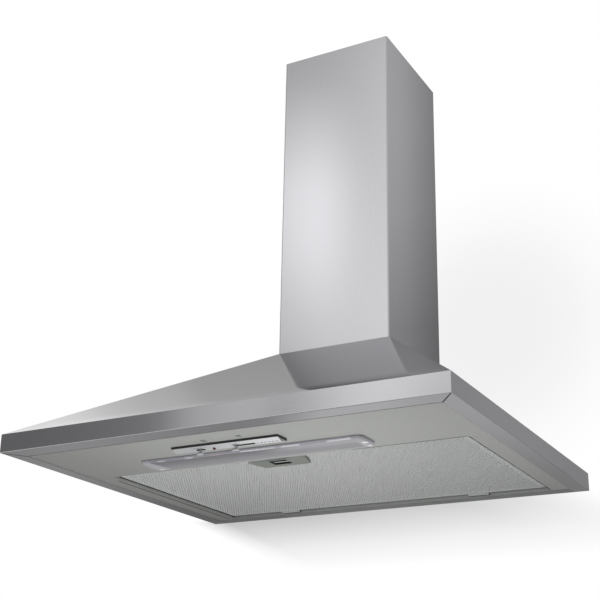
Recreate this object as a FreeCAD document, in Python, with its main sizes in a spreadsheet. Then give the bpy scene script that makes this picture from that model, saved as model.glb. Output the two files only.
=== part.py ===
# Pyramid wall hood with a chimney cover, in millimetres.
# X runs to the right, Y into the wall and Z up. The wall is the plane y = 0.
# The origin is on the wall, level with the underside of the canopy lip and half way along it.
import os

import FreeCAD
import Part
import Sketcher

os.makedirs("parts", exist_ok=True)
doc = FreeCAD.newDocument("range_hood")
sheet = doc.addObject("Spreadsheet::Sheet", "Sizes")

# Driving dimensions
SIZES = {
    # canopy
    "hood_width": 600,
    "hood_depth": 500,
    "band_height": 24,
    "canopy_top": 197,
    "sheet_metal": 1,
    "fold_radius": 2,
    "lip_fold": 1,
    "front_lip": 28,
    "side_lip": 21,
    "rear_lip": 18,
    "seat_gap": 0.3,
    # wall holes in the back panel
    "hanger_spacing": 240,
    "hanger_height": 120,
    "hanger_radius": 4,
    "lower_spacing": 440,
    "lower_height": 46,
    "lower_radius": 3,
    # chimney covers
    "flue_width": 174,
    "flue_depth": 182,
    "flue_top": 680,
    "flue_return": 10,
    "flue_slip": 0.8,
    "inner_flue_bottom": 258,
    "inner_flue_drop": 4,
    # chimney bracket
    "bracket_height": 20,
    "bracket_drop": 12,
    "bracket_sheet": 1.5,
    "bracket_reach": 28,
    "bracket_spacing": 100,
    "bracket_hole_radius": 3,
    # underside panel
    "panel_sheet": 1,
    "filter_side_margin": 47,
    "filter_front_margin": 170,
    "filter_rear_margin": 20,
    "opening_flange": 6,
    # grease filter
    "filter_gap": 1.5,
    "filter_rear_gap": 2.5,
    "filter_recess": 3.8,
    "filter_height": 10,
    "filter_border": 11,
    "filter_sheet": 1.2,
    "mesh_sheet": 0.5,
    "core_sheet": 0.4,
    "layer_gap": 0.1,
    "tab_width": 30,
    "tab_spacing": 300,
    "tab_reach": 8,
    "tab_clearance": 3,
    # filter latch
    "latch_offset": -6,
    "latch_front_width": 82,
    "latch_rear_width": 65,
    "latch_depth": 31,
    "latch_inset": 6.5,
    "window_width": 25,
    "window_depth": 19,
    "window_inset": 2,
    "button_depth": 5,
    "button_side_gap": 3,
    "button_slip": 0.3,
    "button_rise": 0.5,
    "slide_sheet": 1.4,
    "tongue_width": 16,
    "tongue_sheet": 1.5,
    "spring_radius": 2.2,
    "spring_wire": 0.3,
    "spring_pitch": 2.4,
    "spring_length": 8.6,
    # lamp
    "lens_length": 312,
    "lens_width": 43,
    "lens_front": 109,
    "lens_offset": -10.5,
    "lens_drop": 4,
    "lens_corner": 8,
    "lens_bevel": 2,
    "lens_wall": 1.6,
    "lens_rim": 6,
    "lens_skirt": 6,
    "lamp_box_height": 44,
    "lamp_box_flange": 5,
    "lamp_height": 24,
    "lamp_radius": 14,
    "lamp_length": 62,
    "holder_radius": 12,
    "holder_length": 30,
    # controls
    "control_length": 148,
    "control_depth": 22,
    "control_front": 69,
    "control_offset": -16,
    "control_base": 3,
    "fascia_run": 10,
    "fascia_rise": 3.2,
    "fascia_sheet": 1.5,
    "control_rim": 3,
    "control_box_height": 16,
    "control_wall": 1.2,
    "slot_front": 8.2,
    "slot_width": 3,
    "slot_end": 0.6,
    "knob_neck": 2.8,
    "knob_foot": 8,
    "knob_drop": 6.4,
    "knob_foot_height": 2,
    "knob_shoe": 9,
    "knob_slip": 0.3,
    "light_place": -35.6,
    "light_travel": 4,
    "speed_place": 14,
    "speed_travel": 23.5,
    "indicator_place": -17,
    "indicator_radius": 2,
    "indicator_drop": 0.8,
    "switch_height": 8,
    # blower
    "plate_drop": 4.5,
    "plate_sheet": 1.5,
    "fan_height": 112,
    "casing_radius": 70,
    "casing_width": 132,
    "casing_wall": 2,
    "casing_flange": 5,
    "casing_flange_sheet": 2.5,
    "inlet_radius": 44,
    "guard_sheet": 2,
    "guard_rim": 5,
    "guard_bar": 3,
    "motor_radius": 36,
    "motor_length": 52,
    "shaft_radius": 4,
    "shaft_length": 94,
    "running_gap": 0.05,
    "bearing_radius": 9,
    "bearing_length": 6,
    "foot_width": 24,
    "foot_depth": 30,
    "wheel_radius": 58,
    "wheel_width": 30,
    "wheel_gap": 4,
    "wheel_disc": 1.5,
    "wheel_rim": 8,
    "hub_radius": 10,
    "hub_length": 14,
    "blade_sheet": 1.2,
    "blade_depth": 11,
    "blade_count": 24,
    "capacitor_radius": 11,
    "capacitor_length": 44,
    "capacitor_height": 150,
    "screw_radius": 2,
    "screw_head_radius": 3.8,
    "screw_head": 2.4,
    "screw_length": 9,
    "screw_inset": 4,
    # outlet
    "collar_radius": 60,
    "collar_wall": 1.5,
    "collar_height": 44,
    "collar_flange": 10,
    "collar_flange_sheet": 2,
    "flap_height": 22,
    "flap_sheet": 1,
    "flap_gap": 1.2,
    "ledge_width": 3,
    "ledge_height": 2,
    "rod_radius": 1.5,
    "knuckle_wall": 1.2,
    "knuckle_length": 12,
    "knuckle_outer": 30,
    "knuckle_inner": 8,
    "knuckle_gap": 0.8,
    # wiring
    "terminal_place": 115,
    "terminal_width": 60,
    "terminal_height": 40,
    "terminal_depth": 28,
    "terminal_level": 62,
    "terminal_wall": 1.5,
    "terminal_cover": 2,
    "gland_radius": 6,
    "gland_thread": 4,
    "gland_bore": 2.6,
    "gland_height": 12,
    "gland_nut": 3,
    "gland_side": 9,
    "gland_rear": 14,
}
for row, (alias, value) in enumerate(SIZES.items(), 1):
    sheet.set(f"A{row}", alias)
    sheet.set(f"B{row}", str(value))
    sheet.setAlias(f"B{row}", alias)
doc.recompute()

PIECES = []
X_AXIS = FreeCAD.Vector(1, 0, 0)
Y_AXIS = FreeCAD.Vector(0, 1, 0)
Z_AXIS = FreeCAD.Vector(0, 0, 1)
ORIGIN = FreeCAD.Vector(0, 0, 0)


def size(alias):
    """Return the value of a sheet cell."""
    return float(sheet.get(alias))


def piece(shape):
    """Keep a finished sub-part, to be written under its label."""
    PIECES.append(shape)
    return shape


def place(shape, x, y, z):
    """Bind the base point of a shape."""
    shape.setExpression("Placement.Base.x", x)
    shape.setExpression("Placement.Base.y", y)
    shape.setExpression("Placement.Base.z", z)


def box(name, x, y, z):
    """Make a block from the low and high ends of its three spans."""
    shape = doc.addObject("Part::Box", name)
    for prop, span in (("Length", x), ("Width", y), ("Height", z)):
        shape.setExpression(prop, f"({span[1]}) - ({span[0]})")
    place(shape, x[0], y[0], z[0])
    return shape


def cylinder(name, axis, radius, centre, span):
    """Make a cylinder along an axis, from its centre on the other two axes and its span."""
    shape = doc.addObject("Part::Cylinder", name)
    shape.setExpression("Radius", radius)
    shape.setExpression("Height", f"({span[1]}) - ({span[0]})")
    if axis == "x":
        shape.Placement = FreeCAD.Placement(ORIGIN, FreeCAD.Rotation(Y_AXIS, 90))
        place(shape, span[0], centre[0], centre[1])
    elif axis == "y":
        shape.Placement = FreeCAD.Placement(ORIGIN, FreeCAD.Rotation(X_AXIS, -90))
        place(shape, centre[0], span[0], centre[1])
    else:
        place(shape, centre[0], centre[1], span[0])
    return shape


def frustum(name, bottom, top, half_bottom, half_top, front_bottom, front_top, rear):
    """Make a pyramid stump whose flat back is at y = rear."""
    shape = doc.addObject("Part::Wedge", name)
    bounds = {
        "Xmin": f"-({half_bottom})",
        "Xmax": half_bottom,
        "X2min": f"-({half_top})",
        "X2max": half_top,
        "Ymin": "0",
        "Ymax": f"({top}) - ({bottom})",
        "Zmin": f"-({rear})",
        "Zmax": front_bottom,
        "Z2min": f"-({rear})",
        "Z2max": front_top,
    }
    shape.Placement = FreeCAD.Placement(ORIGIN, FreeCAD.Rotation(X_AXIS, 90))
    for prop, text in bounds.items():
        shape.setExpression(prop, text)
    place(shape, "0", "0", bottom)
    return shape


def fuse(name, *shapes):
    """Join shapes, or group them where they stand apart."""
    shape = doc.addObject("Part::MultiFuse", name)
    shape.Shapes = list(shapes)
    shape.Refine = True
    return shape


def cut(name, base, *tools):
    """Take the tools away from a base."""
    shape = doc.addObject("Part::Cut", name)
    shape.Base = base
    shape.Tool = tools[0] if len(tools) == 1 else fuse(f"{name}_tools", *tools)
    shape.Refine = True
    return shape


def common(name, first, second):
    """Keep what two shapes share."""
    shape = doc.addObject("Part::Common", name)
    shape.Base = first
    shape.Tool = second
    shape.Refine = True
    return shape


def rounded(name, base, kind, radius, wanted):
    """Fillet or chamfer the edges that pass a test."""
    doc.recompute()
    shape = doc.addObject(f"Part::{kind}", name)
    shape.Base = base
    edges = enumerate(base.Shape.Edges, 1)
    shape.Edges = [(number, radius, radius) for number, edge in edges if wanted(edge)]
    return shape


def outline(sketch, points):
    """Draw a closed outline whose corners are bound to expressions."""
    count = len(points)
    places = [(evaluate(sketch, x), evaluate(sketch, y)) for x, y in points]
    for number in range(count):
        start = FreeCAD.Vector(*places[number], 0)
        end = FreeCAD.Vector(*places[(number + 1) % count], 0)
        sketch.addGeometry(Part.LineSegment(start, end), False)
    for number in range(count):
        follow = (number + 1) % count
        sketch.addConstraint(Sketcher.Constraint("Coincident", number, 2, follow, 1))
    for number, (x, y) in enumerate(points):
        for kind, value, text in zip(("DistanceX", "DistanceY"), places[number], (x, y)):
            rule = Sketcher.Constraint(kind, -1, 1, number, 1, value)
            sketch.setExpression(f"Constraints[{sketch.addConstraint(rule)}]", text)


def evaluate(owner, text):
    """Return the value of an expression over the sheet."""
    return float(owner.evalExpression(text))


def extrude(name, sketch, direction, span):
    """Extrude a sketch along an axis, over the length of a span."""
    shape = doc.addObject("Part::Extrusion", name)
    shape.Base = sketch
    shape.DirMode = "Custom"
    shape.Dir = direction
    shape.Solid = True
    shape.setExpression("LengthFwd", f"({span[1]}) - ({span[0]})")
    return shape


def prism(name, points, z):
    """Extrude an outline in plan between two heights."""
    sketch = doc.addObject("Sketcher::SketchObject", f"{name}_sketch")
    outline(sketch, points)
    place(sketch, "0", "0", z[0])
    return extrude(name, sketch, Z_AXIS, z)


def profile(name, points, x):
    """Extrude an outline in the YZ plane from left to right."""
    sketch = doc.addObject("Sketcher::SketchObject", f"{name}_sketch")
    outline(sketch, points)
    turn = FreeCAD.Rotation(X_AXIS + Y_AXIS + Z_AXIS, 120)
    sketch.Placement = FreeCAD.Placement(ORIGIN, turn)
    place(sketch, x[0], "0", "0")
    return extrude(name, sketch, X_AXIS, x)


def centred(half, middle="0"):
    """Return the span of a given half width about a middle."""
    return (f"({middle}) - ({half})", f"({middle}) + ({half})")


# Shared places
HALF_WIDTH = "Sizes.hood_width / 2"
HALF_FLUE = "Sizes.flue_width / 2"
RISE = "(Sizes.canopy_top - Sizes.band_height)"
SIDE_RUN = "((Sizes.hood_width - Sizes.flue_width) / 2)"
FRONT_RUN = "(Sizes.hood_depth - Sizes.flue_depth)"
SIDE_SKIN = f"(Sizes.sheet_metal * sqrt({SIDE_RUN} ^ 2 + {RISE} ^ 2) / {RISE})"
FRONT_SKIN = f"(Sizes.sheet_metal * sqrt({FRONT_RUN} ^ 2 + {RISE} ^ 2) / {RISE})"
WALL_SHEET = "-Sizes.sheet_metal"
PANEL_LOW = "Sizes.sheet_metal"
PANEL_HIGH = "(Sizes.sheet_metal + Sizes.panel_sheet)"
OUTSIDE = "5"

# Canopy: one folded skin, cut along the hips into front, left and right sheets
canopy_solid = fuse(
    "canopy_solid",
    box("canopy_band", centred(HALF_WIDTH), ("-Sizes.hood_depth", "0"), ("0", "Sizes.band_height")),
    frustum(
        "canopy_slopes",
        "Sizes.band_height",
        "Sizes.canopy_top",
        HALF_WIDTH,
        HALF_FLUE,
        "Sizes.hood_depth",
        "Sizes.flue_depth",
        "0",
    ),
)
canopy_hollow = fuse(
    "canopy_hollow",
    box(
        "canopy_band_hollow",
        centred(f"{HALF_WIDTH} - Sizes.sheet_metal"),
        ("Sizes.sheet_metal - Sizes.hood_depth", OUTSIDE),
        ("Sizes.sheet_metal", "Sizes.band_height"),
    ),
    frustum(
        "canopy_slopes_hollow",
        "Sizes.band_height",
        "Sizes.canopy_top",
        f"{HALF_WIDTH} - {SIDE_SKIN}",
        f"{HALF_FLUE} - {SIDE_SKIN}",
        f"Sizes.hood_depth - {FRONT_SKIN}",
        f"Sizes.flue_depth - {FRONT_SKIN}",
        OUTSIDE,
    ),
)
lip_opening = box(
    "lip_opening",
    centred(f"{HALF_WIDTH} - Sizes.side_lip"),
    ("Sizes.front_lip - Sizes.hood_depth", OUTSIDE),
    (f"-{OUTSIDE}", "Sizes.sheet_metal"),
)
wall_slice = box(
    "wall_slice",
    centred("Sizes.hood_width"),
    (WALL_SHEET, OUTSIDE),
    (f"-{OUTSIDE}", "Sizes.flue_top"),
)
canopy_skin = cut("canopy_skin", canopy_solid, canopy_hollow, lip_opening, wall_slice)


def bottom_fold(edge):
    """Pick the outer bottom edges at the front and the sides."""
    bounds = edge.BoundBox
    at_front = abs(bounds.YMax + size("hood_depth")) < 0.01
    at_side = abs(min(abs(bounds.XMin), abs(bounds.XMax)) - size("hood_width") / 2) < 0.01
    return bounds.ZMax < 0.01 and (at_front or at_side)


CANOPY_SPAN = (f"-{OUTSIDE}", f"Sizes.canopy_top + {OUTSIDE}")
FRONT_LEFT = (f"-{HALF_WIDTH}", "-Sizes.hood_depth")
FRONT_RIGHT = (HALF_WIDTH, "-Sizes.hood_depth")
FLUE_LEFT = (f"-{HALF_FLUE}", "-Sizes.flue_depth")
FLUE_RIGHT = (HALF_FLUE, "-Sizes.flue_depth")
SECTORS = {
    "front": [FRONT_LEFT, FRONT_RIGHT, FLUE_RIGHT, FLUE_LEFT],
    "left": [FRONT_LEFT, FLUE_LEFT, (FLUE_LEFT[0], "0"), (FRONT_LEFT[0], "0")],
    "right": [FRONT_RIGHT, FLUE_RIGHT, (FLUE_RIGHT[0], "0"), (FRONT_RIGHT[0], "0")],
}
for side, corners in SECTORS.items():
    sector = prism(f"{side}_sector", corners, CANOPY_SPAN)
    flat = common(f"canopy_{side}_flat", canopy_skin, sector)
    piece(rounded(f"canopy_{side}", flat, "Fillet", size("lip_fold"), bottom_fold))

# Back panel with a rear lip, two hanging holes and two lower holes
back_sheet = common("back_sheet", canopy_solid, wall_slice)
rear_lip = box(
    "rear_lip",
    centred(f"{HALF_WIDTH} - Sizes.side_lip - Sizes.seat_gap"),
    ("-Sizes.rear_lip", "0"),
    ("0", "Sizes.sheet_metal"),
)
wall_holes = []
for sign, side in (("-", "left"), ("", "right")):
    for kind in ("hanger", "lower"):
        wall_holes.append(
            cylinder(
                f"{kind}_hole_{side}",
                "y",
                f"Sizes.{kind}_radius",
                (f"{sign}Sizes.{kind}_spacing / 2", f"Sizes.{kind}_height"),
                (f"-{OUTSIDE}", OUTSIDE),
            )
        )
piece(cut("back_panel", fuse("back_folded", back_sheet, rear_lip), *wall_holes))


# Chimney covers: two folded channels, the inner one nested in the outer
def flue(name, half, front, rear, bottom, top):
    """Fold a channel that is open at the top, the bottom and the wall."""
    outer = box(f"{name}_outer", centred(half), (f"-({front})", rear), (bottom, top))
    inner = box(
        f"{name}_inner",
        centred(f"{half} - Sizes.sheet_metal"),
        (f"Sizes.sheet_metal - ({front})", f"({rear}) - Sizes.sheet_metal"),
        (f"({bottom}) - {OUTSIDE}", f"({top}) + {OUTSIDE}"),
    )
    back = box(
        f"{name}_back",
        centred(f"{half} - Sizes.flue_return"),
        (f"({rear}) - 2 * Sizes.sheet_metal", OUTSIDE),
        (f"({bottom}) - {OUTSIDE}", f"({top}) + {OUTSIDE}"),
    )
    channel = cut(f"{name}_channel", outer, inner, back)
    doc.recompute()
    low = channel.Shape.BoundBox.YMin
    reach = channel.Shape.BoundBox.ZLength

    def front_fold(edge, depth):
        bounds = edge.BoundBox
        return abs(bounds.ZLength - reach) < 0.01 and abs(bounds.YMin - low - depth) < 0.01

    thickness = size("sheet_metal")
    radius = size("fold_radius")
    soft = rounded(f"{name}_soft", channel, "Fillet", radius, lambda edge: front_fold(edge, 0))
    return piece(
        rounded(name, soft, "Fillet", radius - 0.8 * thickness, lambda edge: front_fold(edge, thickness))
    )


flue("flue_cover", HALF_FLUE, "Sizes.flue_depth", "0", "Sizes.canopy_top", "Sizes.flue_top")
SLIP = "(Sizes.sheet_metal + Sizes.flue_slip)"
INNER_HALF = f"({HALF_FLUE} - {SLIP})"
INNER_TOP = "(Sizes.flue_top - Sizes.inner_flue_drop)"
flue(
    "flue_extension",
    INNER_HALF,
    f"Sizes.flue_depth - {SLIP}",
    f"-{SLIP}",
    "Sizes.inner_flue_bottom",
    INNER_TOP,
)

# Chimney bracket: a wall strip with two arms that hold the inner cover
BRACKET_SPAN = (
    f"{INNER_TOP} - Sizes.bracket_drop - Sizes.bracket_height",
    f"{INNER_TOP} - Sizes.bracket_drop",
)
BRACKET_FRONT = f"(-{SLIP} - Sizes.sheet_metal - Sizes.seat_gap)"
BRACKET_STEP = f"({INNER_HALF} - Sizes.flue_return - Sizes.seat_gap)"
ARM_OUTER = f"({INNER_HALF} - Sizes.sheet_metal - Sizes.seat_gap)"
WING_FRONT = f"({BRACKET_FRONT} - Sizes.bracket_sheet)"
bracket_parts = [box("bracket_strip", centred(BRACKET_STEP), ("-Sizes.bracket_sheet", "0"), BRACKET_SPAN)]
for side, sign in (("left", -1), ("right", 1)):
    spans = (
        ("step", f"{BRACKET_STEP} - 2 * Sizes.bracket_sheet", BRACKET_STEP, WING_FRONT, "0"),
        ("wing", f"{BRACKET_STEP} - Sizes.bracket_sheet", ARM_OUTER, WING_FRONT, BRACKET_FRONT),
        ("arm", f"{ARM_OUTER} - Sizes.bracket_sheet", ARM_OUTER, "-Sizes.bracket_reach", BRACKET_FRONT),
    )
    for kind, inner, outer, front, rear in spans:
        span = (inner, outer) if sign > 0 else (f"-({outer})", f"-({inner})")
        bracket_parts.append(box(f"bracket_{kind}_{side}", span, (front, rear), BRACKET_SPAN))
bracket_holes = [
    cylinder(
        f"bracket_hole_{side}",
        "y",
        "Sizes.bracket_hole_radius",
        (f"{sign}Sizes.bracket_spacing / 2", f"{BRACKET_SPAN[1]} - Sizes.bracket_height / 2"),
        (f"-{OUTSIDE}", OUTSIDE),
    )
    for side, sign in (("left", "-"), ("right", ""))
]
piece(cut("flue_bracket", fuse("bracket_folded", *bracket_parts), *bracket_holes))

# Underside panel with folded flanges round the filter opening
OPENING_HALF = f"({HALF_WIDTH} - Sizes.filter_side_margin)"
OPENING_FRONT = "(Sizes.filter_front_margin - Sizes.hood_depth)"
OPENING_REAR = "(-Sizes.filter_rear_margin)"
LENS_FRONT = "(Sizes.lens_front - Sizes.hood_depth)"
LENS_REAR = f"({LENS_FRONT} + Sizes.lens_width)"
LENS_MIDDLE = "Sizes.lens_offset"
LENS_HOLE_HALF = "(Sizes.lens_length / 2 - Sizes.lens_rim)"
LENS_HOLE = (f"{LENS_FRONT} + Sizes.lens_rim", f"{LENS_REAR} - Sizes.lens_rim")
CONTROL_FRONT = "(Sizes.control_front - Sizes.hood_depth)"
CONTROL_REAR = f"({CONTROL_FRONT} + Sizes.control_depth)"
CONTROL_MIDDLE = "Sizes.control_offset"
CONTROL_HOLE_HALF = "(Sizes.control_length / 2 - Sizes.control_rim)"
CONTROL_HOLE = (f"{CONTROL_FRONT} + Sizes.control_rim", f"{CONTROL_REAR} - Sizes.control_rim")
panel_blank = box(
    "panel_blank",
    centred(f"{HALF_WIDTH} - Sizes.sheet_metal - Sizes.seat_gap"),
    ("Sizes.sheet_metal + Sizes.seat_gap - Sizes.hood_depth", "-Sizes.sheet_metal - Sizes.seat_gap"),
    (PANEL_LOW, PANEL_HIGH),
)
panel_flange = box(
    "panel_flange",
    centred(f"{OPENING_HALF} + Sizes.panel_sheet"),
    (f"{OPENING_FRONT} - Sizes.panel_sheet", f"{OPENING_REAR} + Sizes.panel_sheet"),
    (PANEL_LOW, f"{PANEL_HIGH} + Sizes.opening_flange"),
)
PANEL_DEEP = (f"-{OUTSIDE}", f"{PANEL_HIGH} + Sizes.opening_flange + {OUTSIDE}")
filter_hole = box("filter_hole", centred(OPENING_HALF), (OPENING_FRONT, OPENING_REAR), PANEL_DEEP)
lens_hole = box("lens_hole", centred(LENS_HOLE_HALF, LENS_MIDDLE), LENS_HOLE, PANEL_DEEP)
control_hole = box("control_hole", centred(CONTROL_HOLE_HALF, CONTROL_MIDDLE), CONTROL_HOLE, PANEL_DEEP)
TAB_NOTCH_HALF = "Sizes.tab_width / 2 + Sizes.tab_clearance"
tab_notches = [
    box(
        f"tab_notch_{side}",
        centred(TAB_NOTCH_HALF, f"{sign}Sizes.tab_spacing / 2"),
        (OPENING_REAR, f"{OPENING_REAR} + 2 * Sizes.panel_sheet"),
        (PANEL_HIGH, PANEL_DEEP[1]),
    )
    for side, sign in (("left", "-"), ("right", ""))
]
panel_folded = fuse("panel_folded", panel_blank, panel_flange)
piece(cut("underside_panel", panel_folded, filter_hole, lens_hole, control_hole, *tab_notches))

# Grease filter frame: a channel ring with two rear tabs that hook over the panel
FILTER_HALF = f"({OPENING_HALF} - Sizes.filter_gap)"
FILTER_FRONT = f"({OPENING_FRONT} + Sizes.filter_gap)"
FILTER_REAR = f"({OPENING_REAR} - Sizes.filter_rear_gap)"
FILTER_LOW = f"({PANEL_LOW} + Sizes.filter_recess)"
FILTER_HIGH = f"({FILTER_LOW} + Sizes.filter_height)"
FRAME_LOW = f"({FILTER_LOW} + Sizes.mesh_sheet)"
CAVITY_LOW = f"({FRAME_LOW} + Sizes.filter_sheet)"
CAVITY_HIGH = f"({FILTER_HIGH} - Sizes.filter_sheet)"
CAVITY_HALF = f"({FILTER_HALF} - Sizes.filter_sheet)"
CAVITY = (f"{FILTER_FRONT} + Sizes.filter_sheet", f"{FILTER_REAR} - Sizes.filter_sheet")
frame_blank = box(
    "frame_blank",
    centred(FILTER_HALF),
    (FILTER_FRONT, FILTER_REAR),
    (FRAME_LOW, FILTER_HIGH),
)
frame_window = box(
    "frame_window",
    centred(f"{FILTER_HALF} - Sizes.filter_border"),
    (f"{FILTER_FRONT} + Sizes.filter_border", f"{FILTER_REAR} - Sizes.filter_border"),
    (f"{FILTER_LOW} - {OUTSIDE}", f"{FILTER_HIGH} + {OUTSIDE}"),
)
frame_channel = box("frame_channel", centred(CAVITY_HALF), CAVITY, (CAVITY_LOW, CAVITY_HIGH))
TAB_LOW = f"({PANEL_HIGH} + Sizes.seat_gap)"
frame_tabs = []
for side, sign in (("left", "-"), ("right", "")):
    tab_x = centred("Sizes.tab_width / 2", f"{sign}Sizes.tab_spacing / 2")
    frame_tabs.append(
        box(
            f"tab_web_{side}",
            tab_x,
            (f"{FILTER_REAR} - Sizes.filter_sheet", FILTER_REAR),
            (TAB_LOW, CAVITY_LOW),
        )
    )
    frame_tabs.append(
        box(
            f"tab_hook_{side}",
            tab_x,
            (f"{FILTER_REAR} - Sizes.filter_sheet", f"{OPENING_REAR} + Sizes.tab_reach"),
            (TAB_LOW, f"{TAB_LOW} + Sizes.filter_sheet"),
        )
    )

# Latch places
LATCH_MIDDLE = "Sizes.latch_offset"
LATCH_FRONT = f"({FILTER_FRONT} + Sizes.latch_inset)"
LATCH_REAR = f"({LATCH_FRONT} + Sizes.latch_depth)"
WINDOW_FRONT = f"({LATCH_FRONT} + Sizes.window_inset)"
WINDOW_REAR = f"({WINDOW_FRONT} + Sizes.window_depth)"
WINDOW_HALF = "Sizes.window_width / 2"
BUTTON_FRONT = f"((({WINDOW_FRONT}) + ({WINDOW_REAR})) / 2 - Sizes.button_depth / 2)"
SLIDE_HALF = f"({WINDOW_HALF} + Sizes.button_side_gap)"
SLIDE_LOW = f"({FILTER_LOW} + Sizes.seat_gap)"
TONGUE_LOW = f"({PANEL_HIGH} + Sizes.opening_flange + Sizes.seat_gap)"
TONGUE_HIGH = f"({TONGUE_LOW} + Sizes.tongue_sheet)"
POCKET_HALF = f"({SLIDE_HALF} + Sizes.button_side_gap)"
SLIDE_REAR = f"({WINDOW_REAR} + Sizes.button_side_gap)"
SPRING_REAR = f"({SLIDE_REAR} + Sizes.spring_length + 2 * Sizes.seat_gap)"
latch_pocket = box(
    "latch_pocket",
    centred(POCKET_HALF, LATCH_MIDDLE),
    (CAVITY[0], SPRING_REAR),
    (f"{FILTER_LOW} - {OUTSIDE}", f"{CAVITY_HIGH} - Sizes.mesh_sheet"),
)
tongue_slot = box(
    "tongue_slot",
    centred("Sizes.tongue_width / 2 + Sizes.seat_gap", LATCH_MIDDLE),
    (f"{FILTER_FRONT} - {OUTSIDE}", f"{FILTER_FRONT} + {OUTSIDE}"),
    (f"{TONGUE_LOW} - Sizes.seat_gap", f"{TONGUE_HIGH} + Sizes.seat_gap"),
)
frame_ring = cut("frame_ring", frame_blank, frame_window, frame_channel, latch_pocket, tongue_slot)
piece(fuse("filter_frame", frame_ring, *frame_tabs))

# Filter layers: face mesh under the frame, back mesh in it and three sheets of expanded metal
LAYER_HALF = f"({CAVITY_HALF} - Sizes.layer_gap)"
LAYER = (f"{CAVITY[0]} + Sizes.layer_gap", f"{CAVITY[1]} - Sizes.layer_gap")
FACE = (FILTER_FRONT, f"{FILTER_REAR} - Sizes.filter_sheet - Sizes.layer_gap")
BACK_LOW = f"({CAVITY_HIGH} - Sizes.mesh_sheet)"
face_blank = box("face_blank", centred(FILTER_HALF), FACE, (FILTER_LOW, FRAME_LOW))
piece(cut("filter_face_mesh", face_blank, latch_pocket))
piece(box("filter_back_mesh", centred(LAYER_HALF), LAYER, (BACK_LOW, CAVITY_HIGH)))
core_layers = []
for number in (1, 2, 3):
    middle = f"{CAVITY_LOW} + ({BACK_LOW} - {CAVITY_LOW}) * {number} / 4"
    layer_z = centred("Sizes.core_sheet / 2", middle)
    core_layers.append(box(f"core_layer_{number}", centred(LAYER_HALF), LAYER, layer_z))
piece(cut("filter_core", fuse("core_layers", *core_layers), latch_pocket))

# Filter latch: a tapered plate with a window, a sliding button behind it and its spring
latch_blank = prism(
    "latch_blank",
    [
        (f"{LATCH_MIDDLE} - Sizes.latch_front_width / 2", LATCH_FRONT),
        (f"{LATCH_MIDDLE} + Sizes.latch_front_width / 2", LATCH_FRONT),
        (f"{LATCH_MIDDLE} + Sizes.latch_rear_width / 2", LATCH_REAR),
        (f"{LATCH_MIDDLE} - Sizes.latch_rear_width / 2", LATCH_REAR),
    ],
    (PANEL_LOW, FILTER_LOW),
)
latch_window = box(
    "latch_window",
    centred(WINDOW_HALF, LATCH_MIDDLE),
    (WINDOW_FRONT, WINDOW_REAR),
    (f"-{OUTSIDE}", f"{FILTER_LOW} + {OUTSIDE}"),
)
piece(cut("latch_plate", latch_blank, latch_window))
TONGUE_TIP = f"({OPENING_FRONT} + Sizes.seat_gap)"
SLIDE_FRONT = f"({WINDOW_FRONT} - Sizes.window_inset)"
piece(
    fuse(
        "latch_button",
        box(
            "button_grip",
            (
                f"{LATCH_MIDDLE} - {WINDOW_HALF} + Sizes.button_side_gap",
                f"{LATCH_MIDDLE} + {WINDOW_HALF} - Sizes.button_slip",
            ),
            (BUTTON_FRONT, f"{BUTTON_FRONT} + Sizes.button_depth"),
            (f"{PANEL_LOW} + Sizes.button_rise", f"{SLIDE_LOW} + Sizes.slide_sheet"),
        ),
        box(
            "button_slide",
            centred(SLIDE_HALF, LATCH_MIDDLE),
            (SLIDE_FRONT, SLIDE_REAR),
            (SLIDE_LOW, f"{SLIDE_LOW} + Sizes.slide_sheet"),
        ),
        box(
            "button_riser",
            centred("Sizes.tongue_width / 2", LATCH_MIDDLE),
            (SLIDE_FRONT, f"{SLIDE_FRONT} + Sizes.slide_sheet"),
            (SLIDE_LOW, TONGUE_HIGH),
        ),
        box(
            "button_tongue",
            centred("Sizes.tongue_width / 2", LATCH_MIDDLE),
            (TONGUE_TIP, f"{SLIDE_FRONT} + Sizes.slide_sheet"),
            (TONGUE_LOW, TONGUE_HIGH),
        ),
    )
)
SPRING_HEIGHT = f"({SLIDE_LOW} + Sizes.spring_radius + Sizes.spring_wire)"
spring_path = doc.addObject("Part::Helix", "spring_path")
spring_path.setExpression("Pitch", "Sizes.spring_pitch")
spring_path.setExpression("Height", "Sizes.spring_length - 2 * Sizes.spring_wire")
spring_path.setExpression("Radius", "Sizes.spring_radius")
spring_path.SegmentLength = 1
spring_path.Placement = FreeCAD.Placement(ORIGIN, FreeCAD.Rotation(X_AXIS, -90))
place(spring_path, LATCH_MIDDLE, f"{SLIDE_REAR} + Sizes.seat_gap + Sizes.spring_wire", SPRING_HEIGHT)
spring_wire = doc.addObject("Part::Circle", "spring_wire")
spring_wire.setExpression("Radius", "Sizes.spring_wire")
place(
    spring_wire,
    f"{LATCH_MIDDLE} + Sizes.spring_radius",
    f"{SLIDE_REAR} + Sizes.seat_gap + Sizes.spring_wire",
    SPRING_HEIGHT,
)
doc.recompute()
latch_spring = doc.addObject("Part::Sweep", "latch_spring")
latch_spring.Sections = [spring_wire]
latch_spring.Spine = (spring_path, [])
latch_spring.Solid = True
latch_spring.Frenet = True
piece(latch_spring)

# Lamp lens: a bevelled tray with rounded corners and a skirt inside the panel opening
LENS_LOW = f"({PANEL_LOW} - Sizes.lens_drop)"
LENS_HIGH = f"({PANEL_LOW} - Sizes.seat_gap)"
lens_blank = box(
    "lens_blank",
    centred("Sizes.lens_length / 2", LENS_MIDDLE),
    (LENS_FRONT, LENS_REAR),
    (LENS_LOW, LENS_HIGH),
)


def upright(edge):
    """Pick the upright edges of a block."""
    bounds = edge.BoundBox
    return bounds.ZLength > 0.5 and bounds.XLength < 0.01 and bounds.YLength < 0.01


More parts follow.
